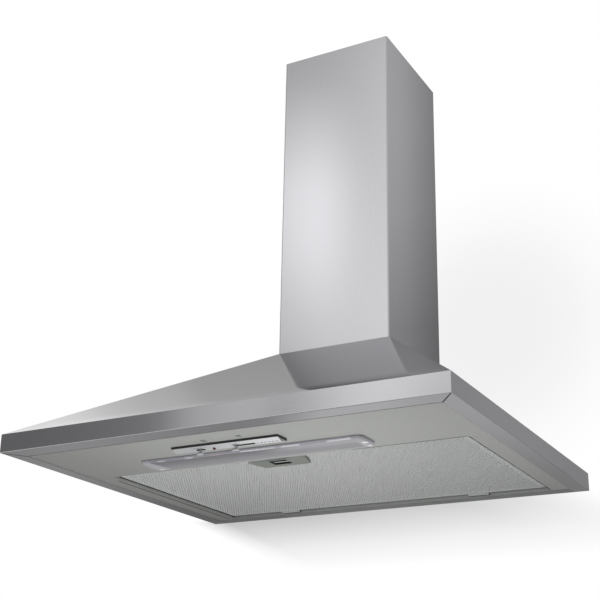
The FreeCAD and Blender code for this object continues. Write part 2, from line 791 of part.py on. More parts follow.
lens_round = rounded("lens_round", lens_blank, "Fillet", size("lens_corner"), upright)
doc.recompute()
LENS_FLOOR = lens_round.Shape.BoundBox.ZMin
lens_bevelled = rounded(
    "lens_bevelled",
    lens_round,
    "Chamfer",
    size("lens_bevel"),
    lambda edge: edge.BoundBox.ZMax < LENS_FLOOR + 0.01,
)
SKIRT_HALF = f"({LENS_HOLE_HALF} - Sizes.seat_gap)"
SKIRT = (f"{LENS_HOLE[0]} + Sizes.seat_gap", f"{LENS_HOLE[1]} - Sizes.seat_gap")
SKIRT_LOW = f"({LENS_LOW} + Sizes.lens_wall)"
SKIRT_HIGH = f"({PANEL_HIGH} + Sizes.lens_skirt)"
lens_skirt = box("lens_skirt_block", centred(SKIRT_HALF, LENS_MIDDLE), SKIRT, (SKIRT_LOW, SKIRT_HIGH))
lens_hollow = box(
    "lens_hollow",
    centred(f"{SKIRT_HALF} - Sizes.lens_wall", LENS_MIDDLE),
    (f"{SKIRT[0]} + Sizes.lens_wall", f"{SKIRT[1]} - Sizes.lens_wall"),
    (SKIRT_LOW, f"{SKIRT_HIGH} + {OUTSIDE}"),
)
piece(cut("lamp_lens", fuse("lens_moulding", lens_bevelled, lens_skirt), lens_hollow))

# Lamp box on the panel, with a lampholder and a lamp at each end
BOX_HALF = f"({LENS_HOLE_HALF} + Sizes.seat_gap)"
BOX_SPAN = (f"{LENS_HOLE[0]} - Sizes.seat_gap", f"{LENS_HOLE[1]} + Sizes.seat_gap")
BOX_HIGH = f"({PANEL_HIGH} + Sizes.lamp_box_height)"
lamp_box_blank = box(
    "lamp_box_blank",
    centred(f"{BOX_HALF} + Sizes.sheet_metal", LENS_MIDDLE),
    (f"{BOX_SPAN[0]} - Sizes.sheet_metal", f"{BOX_SPAN[1]} + Sizes.sheet_metal"),
    (PANEL_HIGH, BOX_HIGH),
)
lamp_box_rim = box(
    "lamp_box_rim",
    centred(f"{BOX_HALF} + Sizes.lamp_box_flange", LENS_MIDDLE),
    (f"{BOX_SPAN[0]} - Sizes.lamp_box_flange", f"{BOX_SPAN[1]} + Sizes.lamp_box_flange"),
    (PANEL_HIGH, f"{PANEL_HIGH} + Sizes.sheet_metal"),
)
lamp_box_hollow = box(
    "lamp_box_hollow",
    centred(BOX_HALF, LENS_MIDDLE),
    BOX_SPAN,
    (f"-{OUTSIDE}", f"{BOX_HIGH} - Sizes.sheet_metal"),
)
piece(cut("lamp_box", fuse("lamp_box_folded", lamp_box_blank, lamp_box_rim), lamp_box_hollow))
LAMP_CENTRE = (f"({LENS_FRONT} + {LENS_REAR}) / 2", f"{PANEL_HIGH} + Sizes.lamp_height")
LAMP_BODY = "(Sizes.lamp_length - Sizes.lamp_radius)"
HOLDER_END = f"({BOX_HALF} - Sizes.seat_gap)"
LAMP_END = f"({HOLDER_END} - Sizes.holder_length - Sizes.seat_gap)"
HOLDER = (f"({HOLDER_END} - Sizes.holder_length)", HOLDER_END)
LAMP = (f"({LAMP_END} - {LAMP_BODY})", LAMP_END)
holders = []
for side in ("left", "right"):
    if side == "right":
        holder_x, lamp_x = ([f"{LENS_MIDDLE} + {end}" for end in span] for span in (HOLDER, LAMP))
        tip_x = lamp_x[0]
    else:
        holder_x, lamp_x = ([f"{LENS_MIDDLE} - {end}" for end in span[::-1]] for span in (HOLDER, LAMP))
        tip_x = lamp_x[1]
    holders.append(cylinder(f"holder_{side}", "x", "Sizes.holder_radius", LAMP_CENTRE, holder_x))
    bulb = cylinder(f"bulb_{side}", "x", "Sizes.lamp_radius", LAMP_CENTRE, lamp_x)
    tip = doc.addObject("Part::Sphere", f"bulb_tip_{side}")
    tip.setExpression("Radius", "Sizes.lamp_radius")
    place(tip, tip_x, *LAMP_CENTRE)
    piece(fuse(f"lamp_{side}", bulb, tip))
piece(fuse("lampholders", *holders))

# Controls: a dark base through the panel, a sloping fascia, two sliders, an indicator and the switches
BASE_LOW = f"({PANEL_LOW} - Sizes.control_base)"
CONTROL_X = centred("Sizes.control_length / 2", CONTROL_MIDDLE)
CASE_HALF = f"({CONTROL_HOLE_HALF} - Sizes.seat_gap)"
CASE = (f"{CONTROL_HOLE[0]} + Sizes.seat_gap", f"{CONTROL_HOLE[1]} - Sizes.seat_gap")
CASE_HIGH = f"({PANEL_HIGH} + Sizes.control_box_height)"
CASE_INSIDE = (f"{CASE[0]} + Sizes.control_wall", f"{CASE[1]} - Sizes.control_wall")
CASE_INSIDE_HALF = f"({CASE_HALF} - Sizes.control_wall)"
control_base = box("control_base_block", CONTROL_X, (CONTROL_FRONT, CONTROL_REAR), (BASE_LOW, PANEL_LOW))
control_case = box("control_case", centred(CASE_HALF, CONTROL_MIDDLE), CASE, (BASE_LOW, CASE_HIGH))
control_hollow = box(
    "control_hollow",
    centred(CASE_INSIDE_HALF, CONTROL_MIDDLE),
    CASE_INSIDE,
    (f"{BASE_LOW} - {OUTSIDE}", f"{CASE_HIGH} - Sizes.control_wall"),
)
piece(cut("control_housing", fuse("control_moulding", control_base, control_case), control_hollow))
FACE_LENGTH = "sqrt(Sizes.fascia_run ^ 2 + Sizes.fascia_rise ^ 2)"


def on_fascia(along, inward):
    """Return the place in the YZ plane at a distance along the sloping face and in from it."""
    y = f"(({along}) * Sizes.fascia_run + ({inward}) * Sizes.fascia_rise) / {FACE_LENGTH}"
    z = f"(({inward}) * Sizes.fascia_run - ({along}) * Sizes.fascia_rise) / {FACE_LENGTH}"
    return (f"{CONTROL_FRONT} + {y}", f"{BASE_LOW} + {z}")


def fascia_block(name, x, along, inward):
    """Make a block square to the sloping face."""
    corners = [(along[0], inward[0]), (along[1], inward[0]), (along[1], inward[1]), (along[0], inward[1])]
    return profile(name, [on_fascia(*corner) for corner in corners], x)


def fascia_pin(name, radius, x, along, inward):
    """Make a cylinder square to the sloping face."""
    shape = doc.addObject("Part::Cylinder", name)
    shape.setExpression("Radius", radius)
    shape.setExpression("Height", f"({inward[1]}) - ({inward[0]})")
    shape.Placement = FreeCAD.Placement(ORIGIN, FreeCAD.Rotation(-X_AXIS, 1))
    shape.setExpression("Placement.Rotation.Angle", "atan(Sizes.fascia_rise / Sizes.fascia_run)")
    place(shape, x, *on_fascia(along, inward[0]))
    return shape


RIDGE = (f"{CONTROL_FRONT} + Sizes.fascia_run", f"{BASE_LOW} - Sizes.fascia_rise")
FASCIA_SKIN = f"(Sizes.fascia_sheet * {FACE_LENGTH} / Sizes.fascia_run)"
SKIN_FRONT = f"{CONTROL_FRONT} + {FASCIA_SKIN} * Sizes.fascia_run / Sizes.fascia_rise"
SKIN_REAR = (
    f"{CONTROL_REAR} - {FASCIA_SKIN} * (Sizes.control_depth - Sizes.fascia_run) / Sizes.fascia_rise"
)
fascia_blank = profile(
    "fascia_blank",
    [(CONTROL_FRONT, BASE_LOW), RIDGE, (CONTROL_REAR, BASE_LOW)],
    CONTROL_X,
)
fascia_hollow = profile(
    "fascia_hollow",
    [
        (SKIN_FRONT, BASE_LOW),
        (RIDGE[0], f"{RIDGE[1]} + {FASCIA_SKIN}"),
        (SKIN_REAR, BASE_LOW),
        (SKIN_REAR, f"{BASE_LOW} + {OUTSIDE}"),
        (SKIN_FRONT, f"{BASE_LOW} + {OUTSIDE}"),
    ],
    centred("Sizes.control_length / 2 - Sizes.fascia_sheet", CONTROL_MIDDLE),
)
THROUGH = (f"-{OUTSIDE}", OUTSIDE)
SLOT = centred("Sizes.slot_width / 2", "Sizes.slot_front")
SLOT_REACH = "(Sizes.knob_neck / 2 + Sizes.slot_end)"
LIGHT_X = f"({CONTROL_MIDDLE} + Sizes.light_place)"
SPEED_X = f"({CONTROL_MIDDLE} + Sizes.speed_place)"
INDICATOR_X = f"({CONTROL_MIDDLE} + Sizes.indicator_place)"
light_slot = fascia_block("light_slot", centred(f"Sizes.light_travel + {SLOT_REACH}", LIGHT_X), SLOT, THROUGH)
speed_slot = fascia_block(
    "speed_slot",
    (f"{SPEED_X} - {SLOT_REACH}", f"{SPEED_X} + Sizes.speed_travel + {SLOT_REACH}"),
    SLOT,
    THROUGH,
)
indicator_hole = fascia_pin(
    "indicator_hole", "Sizes.indicator_radius", INDICATOR_X, "Sizes.slot_front", THROUGH
)
piece(cut("control_fascia", fascia_blank, fascia_hollow, light_slot, speed_slot, indicator_hole))
SHOE_LOW = "(Sizes.fascia_sheet + Sizes.knob_slip)"
SHOE_HIGH = f"({SHOE_LOW} + Sizes.fascia_sheet)"
SHOE = centred("Sizes.slot_width / 2 + Sizes.knob_slip", "Sizes.slot_front")
FOOT_HIGH = "(Sizes.knob_foot_height - Sizes.knob_drop)"
for name, middle in (("light", LIGHT_X), ("speed", SPEED_X)):
    piece(
        fuse(
            f"{name}_slider",
            fascia_block(
                f"{name}_neck",
                centred("Sizes.knob_neck / 2", middle),
                centred("Sizes.slot_width / 2 - Sizes.knob_slip", "Sizes.slot_front"),
                ("-Sizes.knob_drop", SHOE_LOW),
            ),
            fascia_block(
                f"{name}_foot",
                centred("Sizes.knob_foot / 2", middle),
                SHOE,
                ("-Sizes.knob_drop", FOOT_HIGH),
            ),
            fascia_block(f"{name}_shoe", centred("Sizes.knob_shoe / 2", middle), SHOE, (SHOE_LOW, SHOE_HIGH)),
        )
    )
piece(
    fascia_pin(
        "indicator_lens",
        "Sizes.indicator_radius",
        INDICATOR_X,
        "Sizes.slot_front",
        ("-Sizes.indicator_drop", SHOE_HIGH),
    )
)
SWITCH_LOW = f"({on_fascia(SHOE[0], SHOE_HIGH)[1]} + Sizes.knob_slip)"
piece(
    box(
        "switch_unit",
        centred(f"{CASE_INSIDE_HALF} - Sizes.seat_gap", CONTROL_MIDDLE),
        (f"{CASE_INSIDE[0]} + Sizes.seat_gap", f"{CASE_INSIDE[1]} - Sizes.seat_gap"),
        (SWITCH_LOW, f"{SWITCH_LOW} + Sizes.switch_height"),
    )
)

# Blower plate across the canopy top
PLATE_HIGH = "(Sizes.canopy_top - Sizes.plate_drop)"
PLATE_LOW = f"({PLATE_HIGH} - Sizes.plate_sheet)"
PLATE_HALF = f"({HALF_FLUE} - {SIDE_SKIN} + Sizes.plate_drop * {SIDE_RUN} / {RISE} - Sizes.seat_gap)"
PLATE_REACH = f"Sizes.plate_drop * {FRONT_RUN} / {RISE}"
PLATE_FRONT = f"(Sizes.flue_depth - {FRONT_SKIN} + {PLATE_REACH} - Sizes.seat_gap)"
FAN_Y = "(-Sizes.flue_depth / 2)"
FAN = (FAN_Y, "Sizes.fan_height")
CASING_HALF = "Sizes.casing_width / 2"
FLANGE_HALF = f"({CASING_HALF} + Sizes.casing_flange)"
FLANGE_REACH = "(Sizes.casing_radius + Sizes.casing_flange)"
COLLAR_INNER = "(Sizes.collar_radius - Sizes.collar_wall)"
SCREW_X = f"({FLANGE_HALF} - Sizes.screw_inset)"
SCREW_Y = f"({FLANGE_REACH} - Sizes.screw_inset)"
SCREWS = [
    (f"{side}{SCREW_X}", f"{FAN_Y} {end} {SCREW_Y}")
    for side in ("-", "")
    for end in ("-", "+")
]
GLAND = (
    f"{HALF_FLUE} - Sizes.gland_side",
    "-Sizes.gland_rear",
)
plate_blank = box(
    "plate_blank",
    centred(PLATE_HALF),
    (f"-{PLATE_FRONT}", "-Sizes.sheet_metal - Sizes.seat_gap"),
    (PLATE_LOW, PLATE_HIGH),
)
PLATE_DEEP = (f"{PLATE_LOW} - 2 * {OUTSIDE}", f"{PLATE_HIGH} + {OUTSIDE}")
plate_outlet = cylinder("plate_outlet", "z", COLLAR_INNER, ("0", FAN_Y), PLATE_DEEP)
gland_hole = cylinder("gland_hole", "z", "Sizes.gland_thread + Sizes.running_gap", GLAND, PLATE_DEEP)
screw_holes = fuse(
    "screw_holes",
    *[
        cylinder(f"screw_hole_{number}", "z", "Sizes.screw_radius + Sizes.running_gap", where, PLATE_DEEP)
        for number, where in enumerate(SCREWS)
    ],
)
piece(cut("blower_plate", plate_blank, plate_outlet, gland_hole, screw_holes))
screws = []
for number, where in enumerate(SCREWS):
    screws.append(
        cylinder(
            f"screw_shank_{number}",
            "z",
            "Sizes.screw_radius",
            where,
            (f"{PLATE_HIGH} - Sizes.screw_length", PLATE_HIGH),
        )
    )
    screws.append(
        cylinder(
            f"screw_head_{number}",
            "z",
            "Sizes.screw_head_radius",
            where,
            (PLATE_HIGH, f"{PLATE_HIGH} + Sizes.screw_head"),
        )
    )
piece(fuse("casing_screws", *screws))

# Blower casing, split in two halves, with a guard over each inlet
casing_solid = fuse(
    "casing_solid",
    cylinder("casing_drum", "x", "Sizes.casing_radius", FAN, centred(CASING_HALF)),
    box(
        "casing_throat",
        centred(CASING_HALF),
        centred("Sizes.casing_radius", FAN_Y),
        ("Sizes.fan_height", PLATE_LOW),
    ),
    box(
        "casing_rim",
        centred(FLANGE_HALF),
        centred(FLANGE_REACH, FAN_Y),
        (f"{PLATE_LOW} - Sizes.casing_flange_sheet", PLATE_LOW),
    ),
)
INNER_RADIUS = "(Sizes.casing_radius - Sizes.casing_wall)"
casing_hollow = fuse(
    "casing_hollow",
    cylinder("drum_hollow", "x", INNER_RADIUS, FAN, centred(f"{CASING_HALF} - Sizes.casing_wall")),
    box(
        "throat_hollow",
        centred(f"{CASING_HALF} - Sizes.casing_wall"),
        centred(INNER_RADIUS, FAN_Y),
        ("Sizes.fan_height", f"{PLATE_LOW} + {OUTSIDE}"),
    ),
)
inlet = cylinder("inlet", "x", "Sizes.inlet_radius", FAN, centred("Sizes.casing_width"))
casing = cut("casing", casing_solid, casing_hollow, inlet, screw_holes)
for side, span in (("left", ("-Sizes.casing_width", "0")), ("right", ("0", "Sizes.casing_width"))):
    half = box(
        f"casing_{side}_space",
        span,
        centred("Sizes.casing_width", FAN_Y),
        ("0", "Sizes.canopy_top"),
    )
    piece(common(f"casing_{side}", casing, half))
    guard_span = (CASING_HALF, f"{CASING_HALF} + Sizes.guard_sheet")
    if side == "left":
        guard_span = (f"-({guard_span[1]})", f"-{CASING_HALF}")
    rings = []
    for number, share in enumerate(("1", "2 / 3", "1 / 3")):
        inner = f"Sizes.inlet_radius * {share}"
        wide = "Sizes.guard_rim" if number == 0 else "Sizes.guard_bar"
        outer_disc = cylinder(f"guard_{side}_outer_{number}", "x", f"{inner} + {wide}", FAN, guard_span)
        inner_disc = cylinder(f"guard_{side}_inner_{number}", "x", inner, FAN, guard_span)
        rings.append(cut(f"guard_{side}_ring_{number}", outer_disc, inner_disc))
    bar_half = "Sizes.guard_bar / 2"
    reach = "Sizes.inlet_radius + Sizes.guard_bar"
    bars = [
        box(f"guard_{side}_{kind}", guard_span, centred(wide, FAN_Y), centred(tall, "Sizes.fan_height"))
        for kind, wide, tall in (("level", reach, bar_half), ("upright", bar_half, reach))
    ]
    piece(fuse(f"inlet_guard_{side}", *rings, *bars))

# Motor, its bearings and foot, and the capacitor
MOTOR_HALF = "Sizes.motor_length / 2"
motor_solid = cylinder("motor_solid", "x", "Sizes.motor_radius", FAN, centred(MOTOR_HALF))
motor_bore = cylinder("motor_bore", "x", "2 * Sizes.shaft_radius", FAN, centred("Sizes.motor_length"))
SHAFT_HOLE = "Sizes.shaft_radius + Sizes.running_gap"
bearing_seats = []
bearings = []
for side, span in (
    ("left", (f"-{MOTOR_HALF}", f"Sizes.bearing_length - {MOTOR_HALF}")),
    ("right", (f"{MOTOR_HALF} - Sizes.bearing_length", MOTOR_HALF)),
):
    seat_radius = "Sizes.bearing_radius + Sizes.running_gap"
    bearing_seats.append(cylinder(f"bearing_seat_{side}", "x", seat_radius, FAN, span))
    ring = cylinder(f"bearing_ring_{side}", "x", "Sizes.bearing_radius", FAN, span)
    hole = cylinder(f"bearing_hole_{side}", "x", SHAFT_HOLE, FAN, span)
    bearings.append(cut(f"bearing_{side}", ring, hole))
piece(cut("motor_body", motor_solid, motor_bore, *bearing_seats))
piece(fuse("motor_bearings", *bearings))
foot_block = box(
    "foot_block",
    centred("Sizes.foot_width / 2"),
    centred("Sizes.foot_depth / 2", FAN_Y),
    ("Sizes.fan_height - Sizes.casing_radius", "Sizes.fan_height"),
)
FOOT_SPAN = centred("Sizes.foot_width")
foot_limit = cylinder("foot_limit", "x", f"{INNER_RADIUS} - Sizes.running_gap", FAN, FOOT_SPAN)
foot_seat = cylinder("foot_seat", "x", "Sizes.motor_radius + Sizes.running_gap", FAN, FOOT_SPAN)
piece(cut("motor_foot", common("foot_shaped", foot_block, foot_limit), foot_seat))
piece(
    cylinder(
        "capacitor",
        "x",
        "Sizes.capacitor_radius",
        (
            f"{FAN_Y} - Sizes.casing_radius - Sizes.capacitor_radius - Sizes.seat_gap",
            "Sizes.capacitor_height",
        ),
        centred("Sizes.capacitor_length / 2"),
    )
)

# Shaft and the two fan wheels on it
piece(cylinder("motor_shaft", "x", "Sizes.shaft_radius", FAN, centred("Sizes.shaft_length / 2")))


def wheel_sketch(body, name, away):
    """Start a sketch across the shaft, at a distance from the motor."""
    plane = next(item for item in body.Origin.OriginFeatures if item.Role == "YZ_Plane")
    sketch = body.newObject("Sketcher::SketchObject", name)
    sketch.AttachmentSupport = [(plane, "")]
    sketch.MapMode = "FlatFace"
    sketch.setExpression("AttachmentOffset.Base.z", away)
    return sketch


def circle(sketch, radius):
    """Draw a bound circle about the shaft."""
    value = evaluate(sketch, radius)
    number = sketch.addGeometry(Part.Circle(ORIGIN, Z_AXIS, value), False)
    sketch.addConstraint(Sketcher.Constraint("Coincident", number, 3, -1, 1))
    rule = sketch.addConstraint(Sketcher.Constraint("Radius", number, value))
    sketch.setExpression(f"Constraints[{rule}]", radius)


def pad(body, name, sketch, length):
    """Raise a sketch away from the motor."""
    feature = body.newObject("PartDesign::Pad", name)
    feature.Profile = sketch
    feature.setExpression("Length", length)
    doc.recompute()
    return feature


def wheel(side, turn):
    """Build a fan wheel: disc, hub, blades and end ring."""
    name = f"fan_wheel_{side}"
    body = doc.addObject("PartDesign::Body", name)
    start = f"{MOTOR_HALF} + Sizes.wheel_gap"
    disc = wheel_sketch(body, f"{name}_disc_sketch", start)
    circle(disc, "Sizes.wheel_radius")
    circle(disc, SHAFT_HOLE)
    pad(body, f"{name}_disc", disc, "Sizes.wheel_disc")
    hub = wheel_sketch(body, f"{name}_hub_sketch", start)
    circle(hub, "Sizes.hub_radius")
    circle(hub, SHAFT_HOLE)
    pad(body, f"{name}_hub", hub, "Sizes.hub_length")
    ring = wheel_sketch(body, f"{name}_ring_sketch", f"{start} + Sizes.wheel_width - Sizes.wheel_disc")
    circle(ring, "Sizes.wheel_radius")
    circle(ring, "Sizes.wheel_radius - Sizes.wheel_rim")
    blade = wheel_sketch(body, f"{name}_blade_sketch", start)
    inner = "Sizes.wheel_radius - Sizes.blade_depth"
    outer = "Sizes.wheel_radius - Sizes.blade_sheet"
    half = "Sizes.blade_sheet / 2"
    outline(blade, [(inner, f"-{half}"), (outer, f"-{half}"), (outer, half), (inner, half)])
    first = pad(body, f"{name}_blade", blade, "Sizes.wheel_width")
    blades = body.newObject("PartDesign::PolarPattern", f"{name}_blades")
    blades.Originals = [first]
    blades.Axis = (blade, ["N_Axis"])
    blades.Angle = 360
    blades.Occurrences = int(size("blade_count"))
    body.Tip = blades
    doc.recompute()
    pad(body, f"{name}_ring", ring, "Sizes.wheel_disc")
    body.Placement = FreeCAD.Placement(ORIGIN, FreeCAD.Rotation(Z_AXIS, turn))
    place(body, "0", *FAN)
    return piece(body)


wheel("right", 0)
wheel("left", 180)

# Outlet collar with a ledge, a hinge rod and two non-return flaps
CENTRE = ("0", FAN_Y)
COLLAR_LOW = PLATE_HIGH
COLLAR_HIGH = f"({COLLAR_LOW} + Sizes.collar_height)"
FLAP_MIDDLE = f"({COLLAR_LOW} + Sizes.flap_height)"
LEDGE_HIGH = f"({FLAP_MIDDLE} - Sizes.flap_sheet / 2 - Sizes.seat_gap)"
LEDGE_INNER = f"({COLLAR_INNER} - Sizes.ledge_width)"
collar_solid = fuse(
    "collar_solid",
    cylinder("collar_tube", "z", "Sizes.collar_radius", CENTRE, (COLLAR_LOW, COLLAR_HIGH)),
    cylinder(
        "collar_foot",
        "z",
        "Sizes.collar_radius + Sizes.collar_flange",
        CENTRE,
        (COLLAR_LOW, f"{COLLAR_LOW} + Sizes.collar_flange_sheet"),
    ),
)
COLLAR_BELOW = f"{COLLAR_LOW} - {OUTSIDE}"
COLLAR_ABOVE = f"{COLLAR_HIGH} + {OUTSIDE}"
collar_bore = cylinder("collar_bore", "z", LEDGE_INNER, CENTRE, (COLLAR_BELOW, COLLAR_ABOVE))
collar_upper = cylinder("collar_upper", "z", COLLAR_INNER, CENTRE, (LEDGE_HIGH, COLLAR_ABOVE))
collar_lower = cylinder(
    "collar_lower",
    "z",
    COLLAR_INNER,
    CENTRE,
    (COLLAR_BELOW, f"{LEDGE_HIGH} - Sizes.ledge_height"),
)
rod_place = ("0", FLAP_MIDDLE)
rod_hole = cylinder(
    "rod_hole",
    "y",
    "Sizes.rod_radius + Sizes.running_gap",
    rod_place,
    centred("2 * Sizes.collar_radius", FAN_Y),
)
piece(cut("outlet_collar", collar_solid, collar_bore, collar_upper, collar_lower, rod_hole))
piece(
    cylinder(
        "flap_rod",
        "y",
        "Sizes.rod_radius",
        rod_place,
        centred("Sizes.collar_radius - Sizes.seat_gap", FAN_Y),
    )
)
KNUCKLE_RADIUS = "(Sizes.rod_radius + Sizes.running_gap + Sizes.knuckle_wall)"
FLAP_EDGE = f"({KNUCKLE_RADIUS} + Sizes.knuckle_gap)"
FLAP_SPAN = centred("Sizes.flap_sheet / 2", FLAP_MIDDLE)
for side, sign in (("left", "-"), ("right", "")):
    disc = cylinder(f"flap_{side}_disc", "z", f"{COLLAR_INNER} - Sizes.flap_gap", CENTRE, FLAP_SPAN)
    spans = {"leaf": (FLAP_EDGE, "Sizes.collar_radius"), "web": ("0", f"{FLAP_EDGE} + {OUTSIDE}")}
    if side == "left":
        spans = {kind: (f"-({span[1]})", f"-({span[0]})") for kind, span in spans.items()}
    leaf_space = box(f"flap_{side}_space", spans["leaf"], centred("Sizes.collar_radius", FAN_Y), FLAP_SPAN)
    leaf = common(f"flap_{side}_leaf", disc, leaf_space)
    extras = []
    for kind, along in (("outer", "" if side == "left" else "-"), ("inner", "-" if side == "left" else "")):
        near = f"Sizes.knuckle_{kind}"
        far = f"(Sizes.knuckle_{kind} + Sizes.knuckle_length)"
        span = (f"{FAN_Y} + {near}", f"{FAN_Y} + {far}")
        if along == "-":
            span = (f"{FAN_Y} - {far}", f"{FAN_Y} - {near}")
        extras.append(cylinder(f"flap_{side}_{kind}_knuckle", "y", KNUCKLE_RADIUS, rod_place, span))
        extras.append(box(f"flap_{side}_{kind}_web", spans["web"], span, FLAP_SPAN))
    solid = fuse(f"flap_{side}_solid", leaf, *extras)
    piece(cut(f"flap_{side}", solid, rod_hole))

# Terminal box on the back panel and the cable gland in the blower plate
TERMINAL_X = ("Sizes.terminal_place", "Sizes.terminal_place + Sizes.terminal_width")
TERMINAL_Z = ("Sizes.terminal_level", "Sizes.terminal_level + Sizes.terminal_height")
TERMINAL_FRONT = "(-Sizes.sheet_metal - Sizes.terminal_depth)"
terminal_blank = box("terminal_blank", TERMINAL_X, (TERMINAL_FRONT, WALL_SHEET), TERMINAL_Z)
terminal_hollow = box(
    "terminal_hollow",
    (f"{TERMINAL_X[0]} + Sizes.terminal_wall", f"{TERMINAL_X[1]} - Sizes.terminal_wall"),
    (f"{TERMINAL_FRONT} - {OUTSIDE}", f"{WALL_SHEET} - Sizes.terminal_wall"),
    (f"{TERMINAL_Z[0]} + Sizes.terminal_wall", f"{TERMINAL_Z[1]} - Sizes.terminal_wall"),
)
piece(cut("terminal_box", terminal_blank, terminal_hollow))
piece(
    box(
        "terminal_cover",
        TERMINAL_X,
        (f"{TERMINAL_FRONT} - Sizes.terminal_cover", TERMINAL_FRONT),
        TERMINAL_Z,
    )
)
GLAND_LOW = f"({PLATE_LOW} - Sizes.gland_nut)"
GLAND_HIGH = f"({PLATE_HIGH} + Sizes.gland_height)"
gland_solid = fuse(
    "gland_solid",
    cylinder("gland_cap", "z", "Sizes.gland_radius", GLAND, (PLATE_HIGH, GLAND_HIGH)),
    cylinder("gland_stem", "z", "Sizes.gland_thread", GLAND, (GLAND_LOW, PLATE_HIGH)),
    cylinder("gland_ring", "z", "Sizes.gland_radius", GLAND, (GLAND_LOW, PLATE_LOW)),
)
gland_bore = cylinder("gland_bore", "z", "Sizes.gland_bore", GLAND, (GLAND_LOW, GLAND_HIGH))
piece(cut("cable_gland", gland_solid, gland_bore))

# Recompute, test every object and write each sub-part
doc.recompute()
for item in doc.Objects:
    if "Invalid" in item.State or "Error" in item.State:
        raise RuntimeError(f"{item.Label} did not compute")
for item in PIECES:
    shape = item.Shape
    if shape.isNull() or not shape.isValid() or not shape.Solids:
        raise RuntimeError(f"{item.Label} is not a valid solid")
    shape.exportStep(f"parts/{item.Label}.step")
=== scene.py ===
import math

import bpy
from mathutils import Matrix, Vector


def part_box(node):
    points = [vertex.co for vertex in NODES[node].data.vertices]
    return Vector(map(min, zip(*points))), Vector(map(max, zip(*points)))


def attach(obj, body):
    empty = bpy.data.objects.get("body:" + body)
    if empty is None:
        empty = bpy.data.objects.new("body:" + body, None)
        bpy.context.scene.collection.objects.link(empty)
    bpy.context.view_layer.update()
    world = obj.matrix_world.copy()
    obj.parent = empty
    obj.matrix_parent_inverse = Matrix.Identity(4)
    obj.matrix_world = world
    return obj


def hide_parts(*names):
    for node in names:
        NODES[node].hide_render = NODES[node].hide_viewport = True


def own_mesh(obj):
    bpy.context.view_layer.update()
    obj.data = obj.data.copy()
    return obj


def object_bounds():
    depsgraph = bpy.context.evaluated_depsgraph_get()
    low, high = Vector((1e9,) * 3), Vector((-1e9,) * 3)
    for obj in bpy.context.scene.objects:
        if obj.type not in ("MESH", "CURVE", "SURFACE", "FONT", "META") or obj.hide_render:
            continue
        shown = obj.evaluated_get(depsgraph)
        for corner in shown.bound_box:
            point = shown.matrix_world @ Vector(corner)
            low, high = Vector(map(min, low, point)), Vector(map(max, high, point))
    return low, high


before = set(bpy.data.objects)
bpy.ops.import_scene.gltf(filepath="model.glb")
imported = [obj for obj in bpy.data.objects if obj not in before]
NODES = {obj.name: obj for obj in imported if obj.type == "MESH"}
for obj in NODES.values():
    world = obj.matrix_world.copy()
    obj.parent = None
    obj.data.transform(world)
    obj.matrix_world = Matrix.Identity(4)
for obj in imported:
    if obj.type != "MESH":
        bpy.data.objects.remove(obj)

CAD_LOW, CAD_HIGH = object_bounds()
SCENE = bpy.context.scene
FULL_WHITE = (1.0, 1.0, 1.0, 1.0)


# Node helpers
def blank(name):
    """Start a node material and return it with its tree and main shader."""
    made = bpy.data.materials.new(name)
    made.use_nodes = True
    return made, made.node_tree, made.node_tree.nodes["Principled BSDF"]


def node(tree, kind, **settings):
    """Add a shader node and set its plain properties."""
    made = tree.nodes.new(kind)
    for key, value in settings.items():
        setattr(made, key, value)
    return made


def feed(tree, socket, value):
    """Give a socket a link or a plain value."""
    if isinstance(value, bpy.types.NodeSocket):
        tree.links.new(value, socket)
    else:
        socket.default_value = value


def combine(tree, operation, first, second=0.0):
    """Join two strengths, each a link or a plain number."""
    made = node(tree, "ShaderNodeMath", operation=operation)
    feed(tree, made.inputs[0], first)
    feed(tree, made.inputs[1], second)
    return made.outputs["Value"]


def product(tree, first, *others):
    """Multiply strengths."""
    total = first
    for other in others:
        total = combine(tree, "MULTIPLY", total, other)
    return total


def mixed(tree, factor, first, second):
    """Blend two colours by a strength."""
    made = node(tree, "ShaderNodeMix", data_type="RGBA")
    sockets = {socket.name: socket for socket in made.inputs if socket.enabled}
    feed(tree, sockets["Factor"], factor)
    feed(tree, sockets["A"], first)
    feed(tree, sockets["B"], second)
    return next(socket for socket in made.outputs if socket.enabled)


def place_in(tree):
    """Return where a point is in its object's own frame."""
    return node(tree, "ShaderNodeTexCoord").outputs["Object"]


def split(tree, vector):
    """Return the X, Y and Z of a vector."""
    parts = node(tree, "ShaderNodeSeparateXYZ")
    tree.links.new(vector, parts.inputs["Vector"])
    return parts.outputs


def measured(tree, operation, vector, other):
    """Return a number from a vector and a fixed one."""
    made = node(tree, "ShaderNodeVectorMath", operation=operation)
    made.inputs[1].default_value = other
    tree.links.new(vector, made.inputs[0])
    return made.outputs["Value"]


def along(tree, vector, way):
    """Return how far a vector reaches along a direction."""
    return measured(tree, "DOT_PRODUCT", vector, way)


def distance(tree, place, point):
    """Return how far a place is from a point."""
    return measured(tree, "DISTANCE", place, point)


def noise(tree, scale, stretch=(1, 1, 1), detail=3.0):
    """Add a noise pattern in the object's own frame and return its strength."""
    mapping = node(tree, "ShaderNodeMapping")
    mapping.inputs["Scale"].default_value = stretch
    pattern = node(tree, "ShaderNodeTexNoise")
    pattern.inputs["Scale"].default_value = scale
    pattern.inputs["Detail"].default_value = detail
    tree.links.new(place_in(tree), mapping.inputs["Vector"])
    tree.links.new(mapping.outputs["Vector"], pattern.inputs["Vector"])
    return pattern.outputs["Fac"]


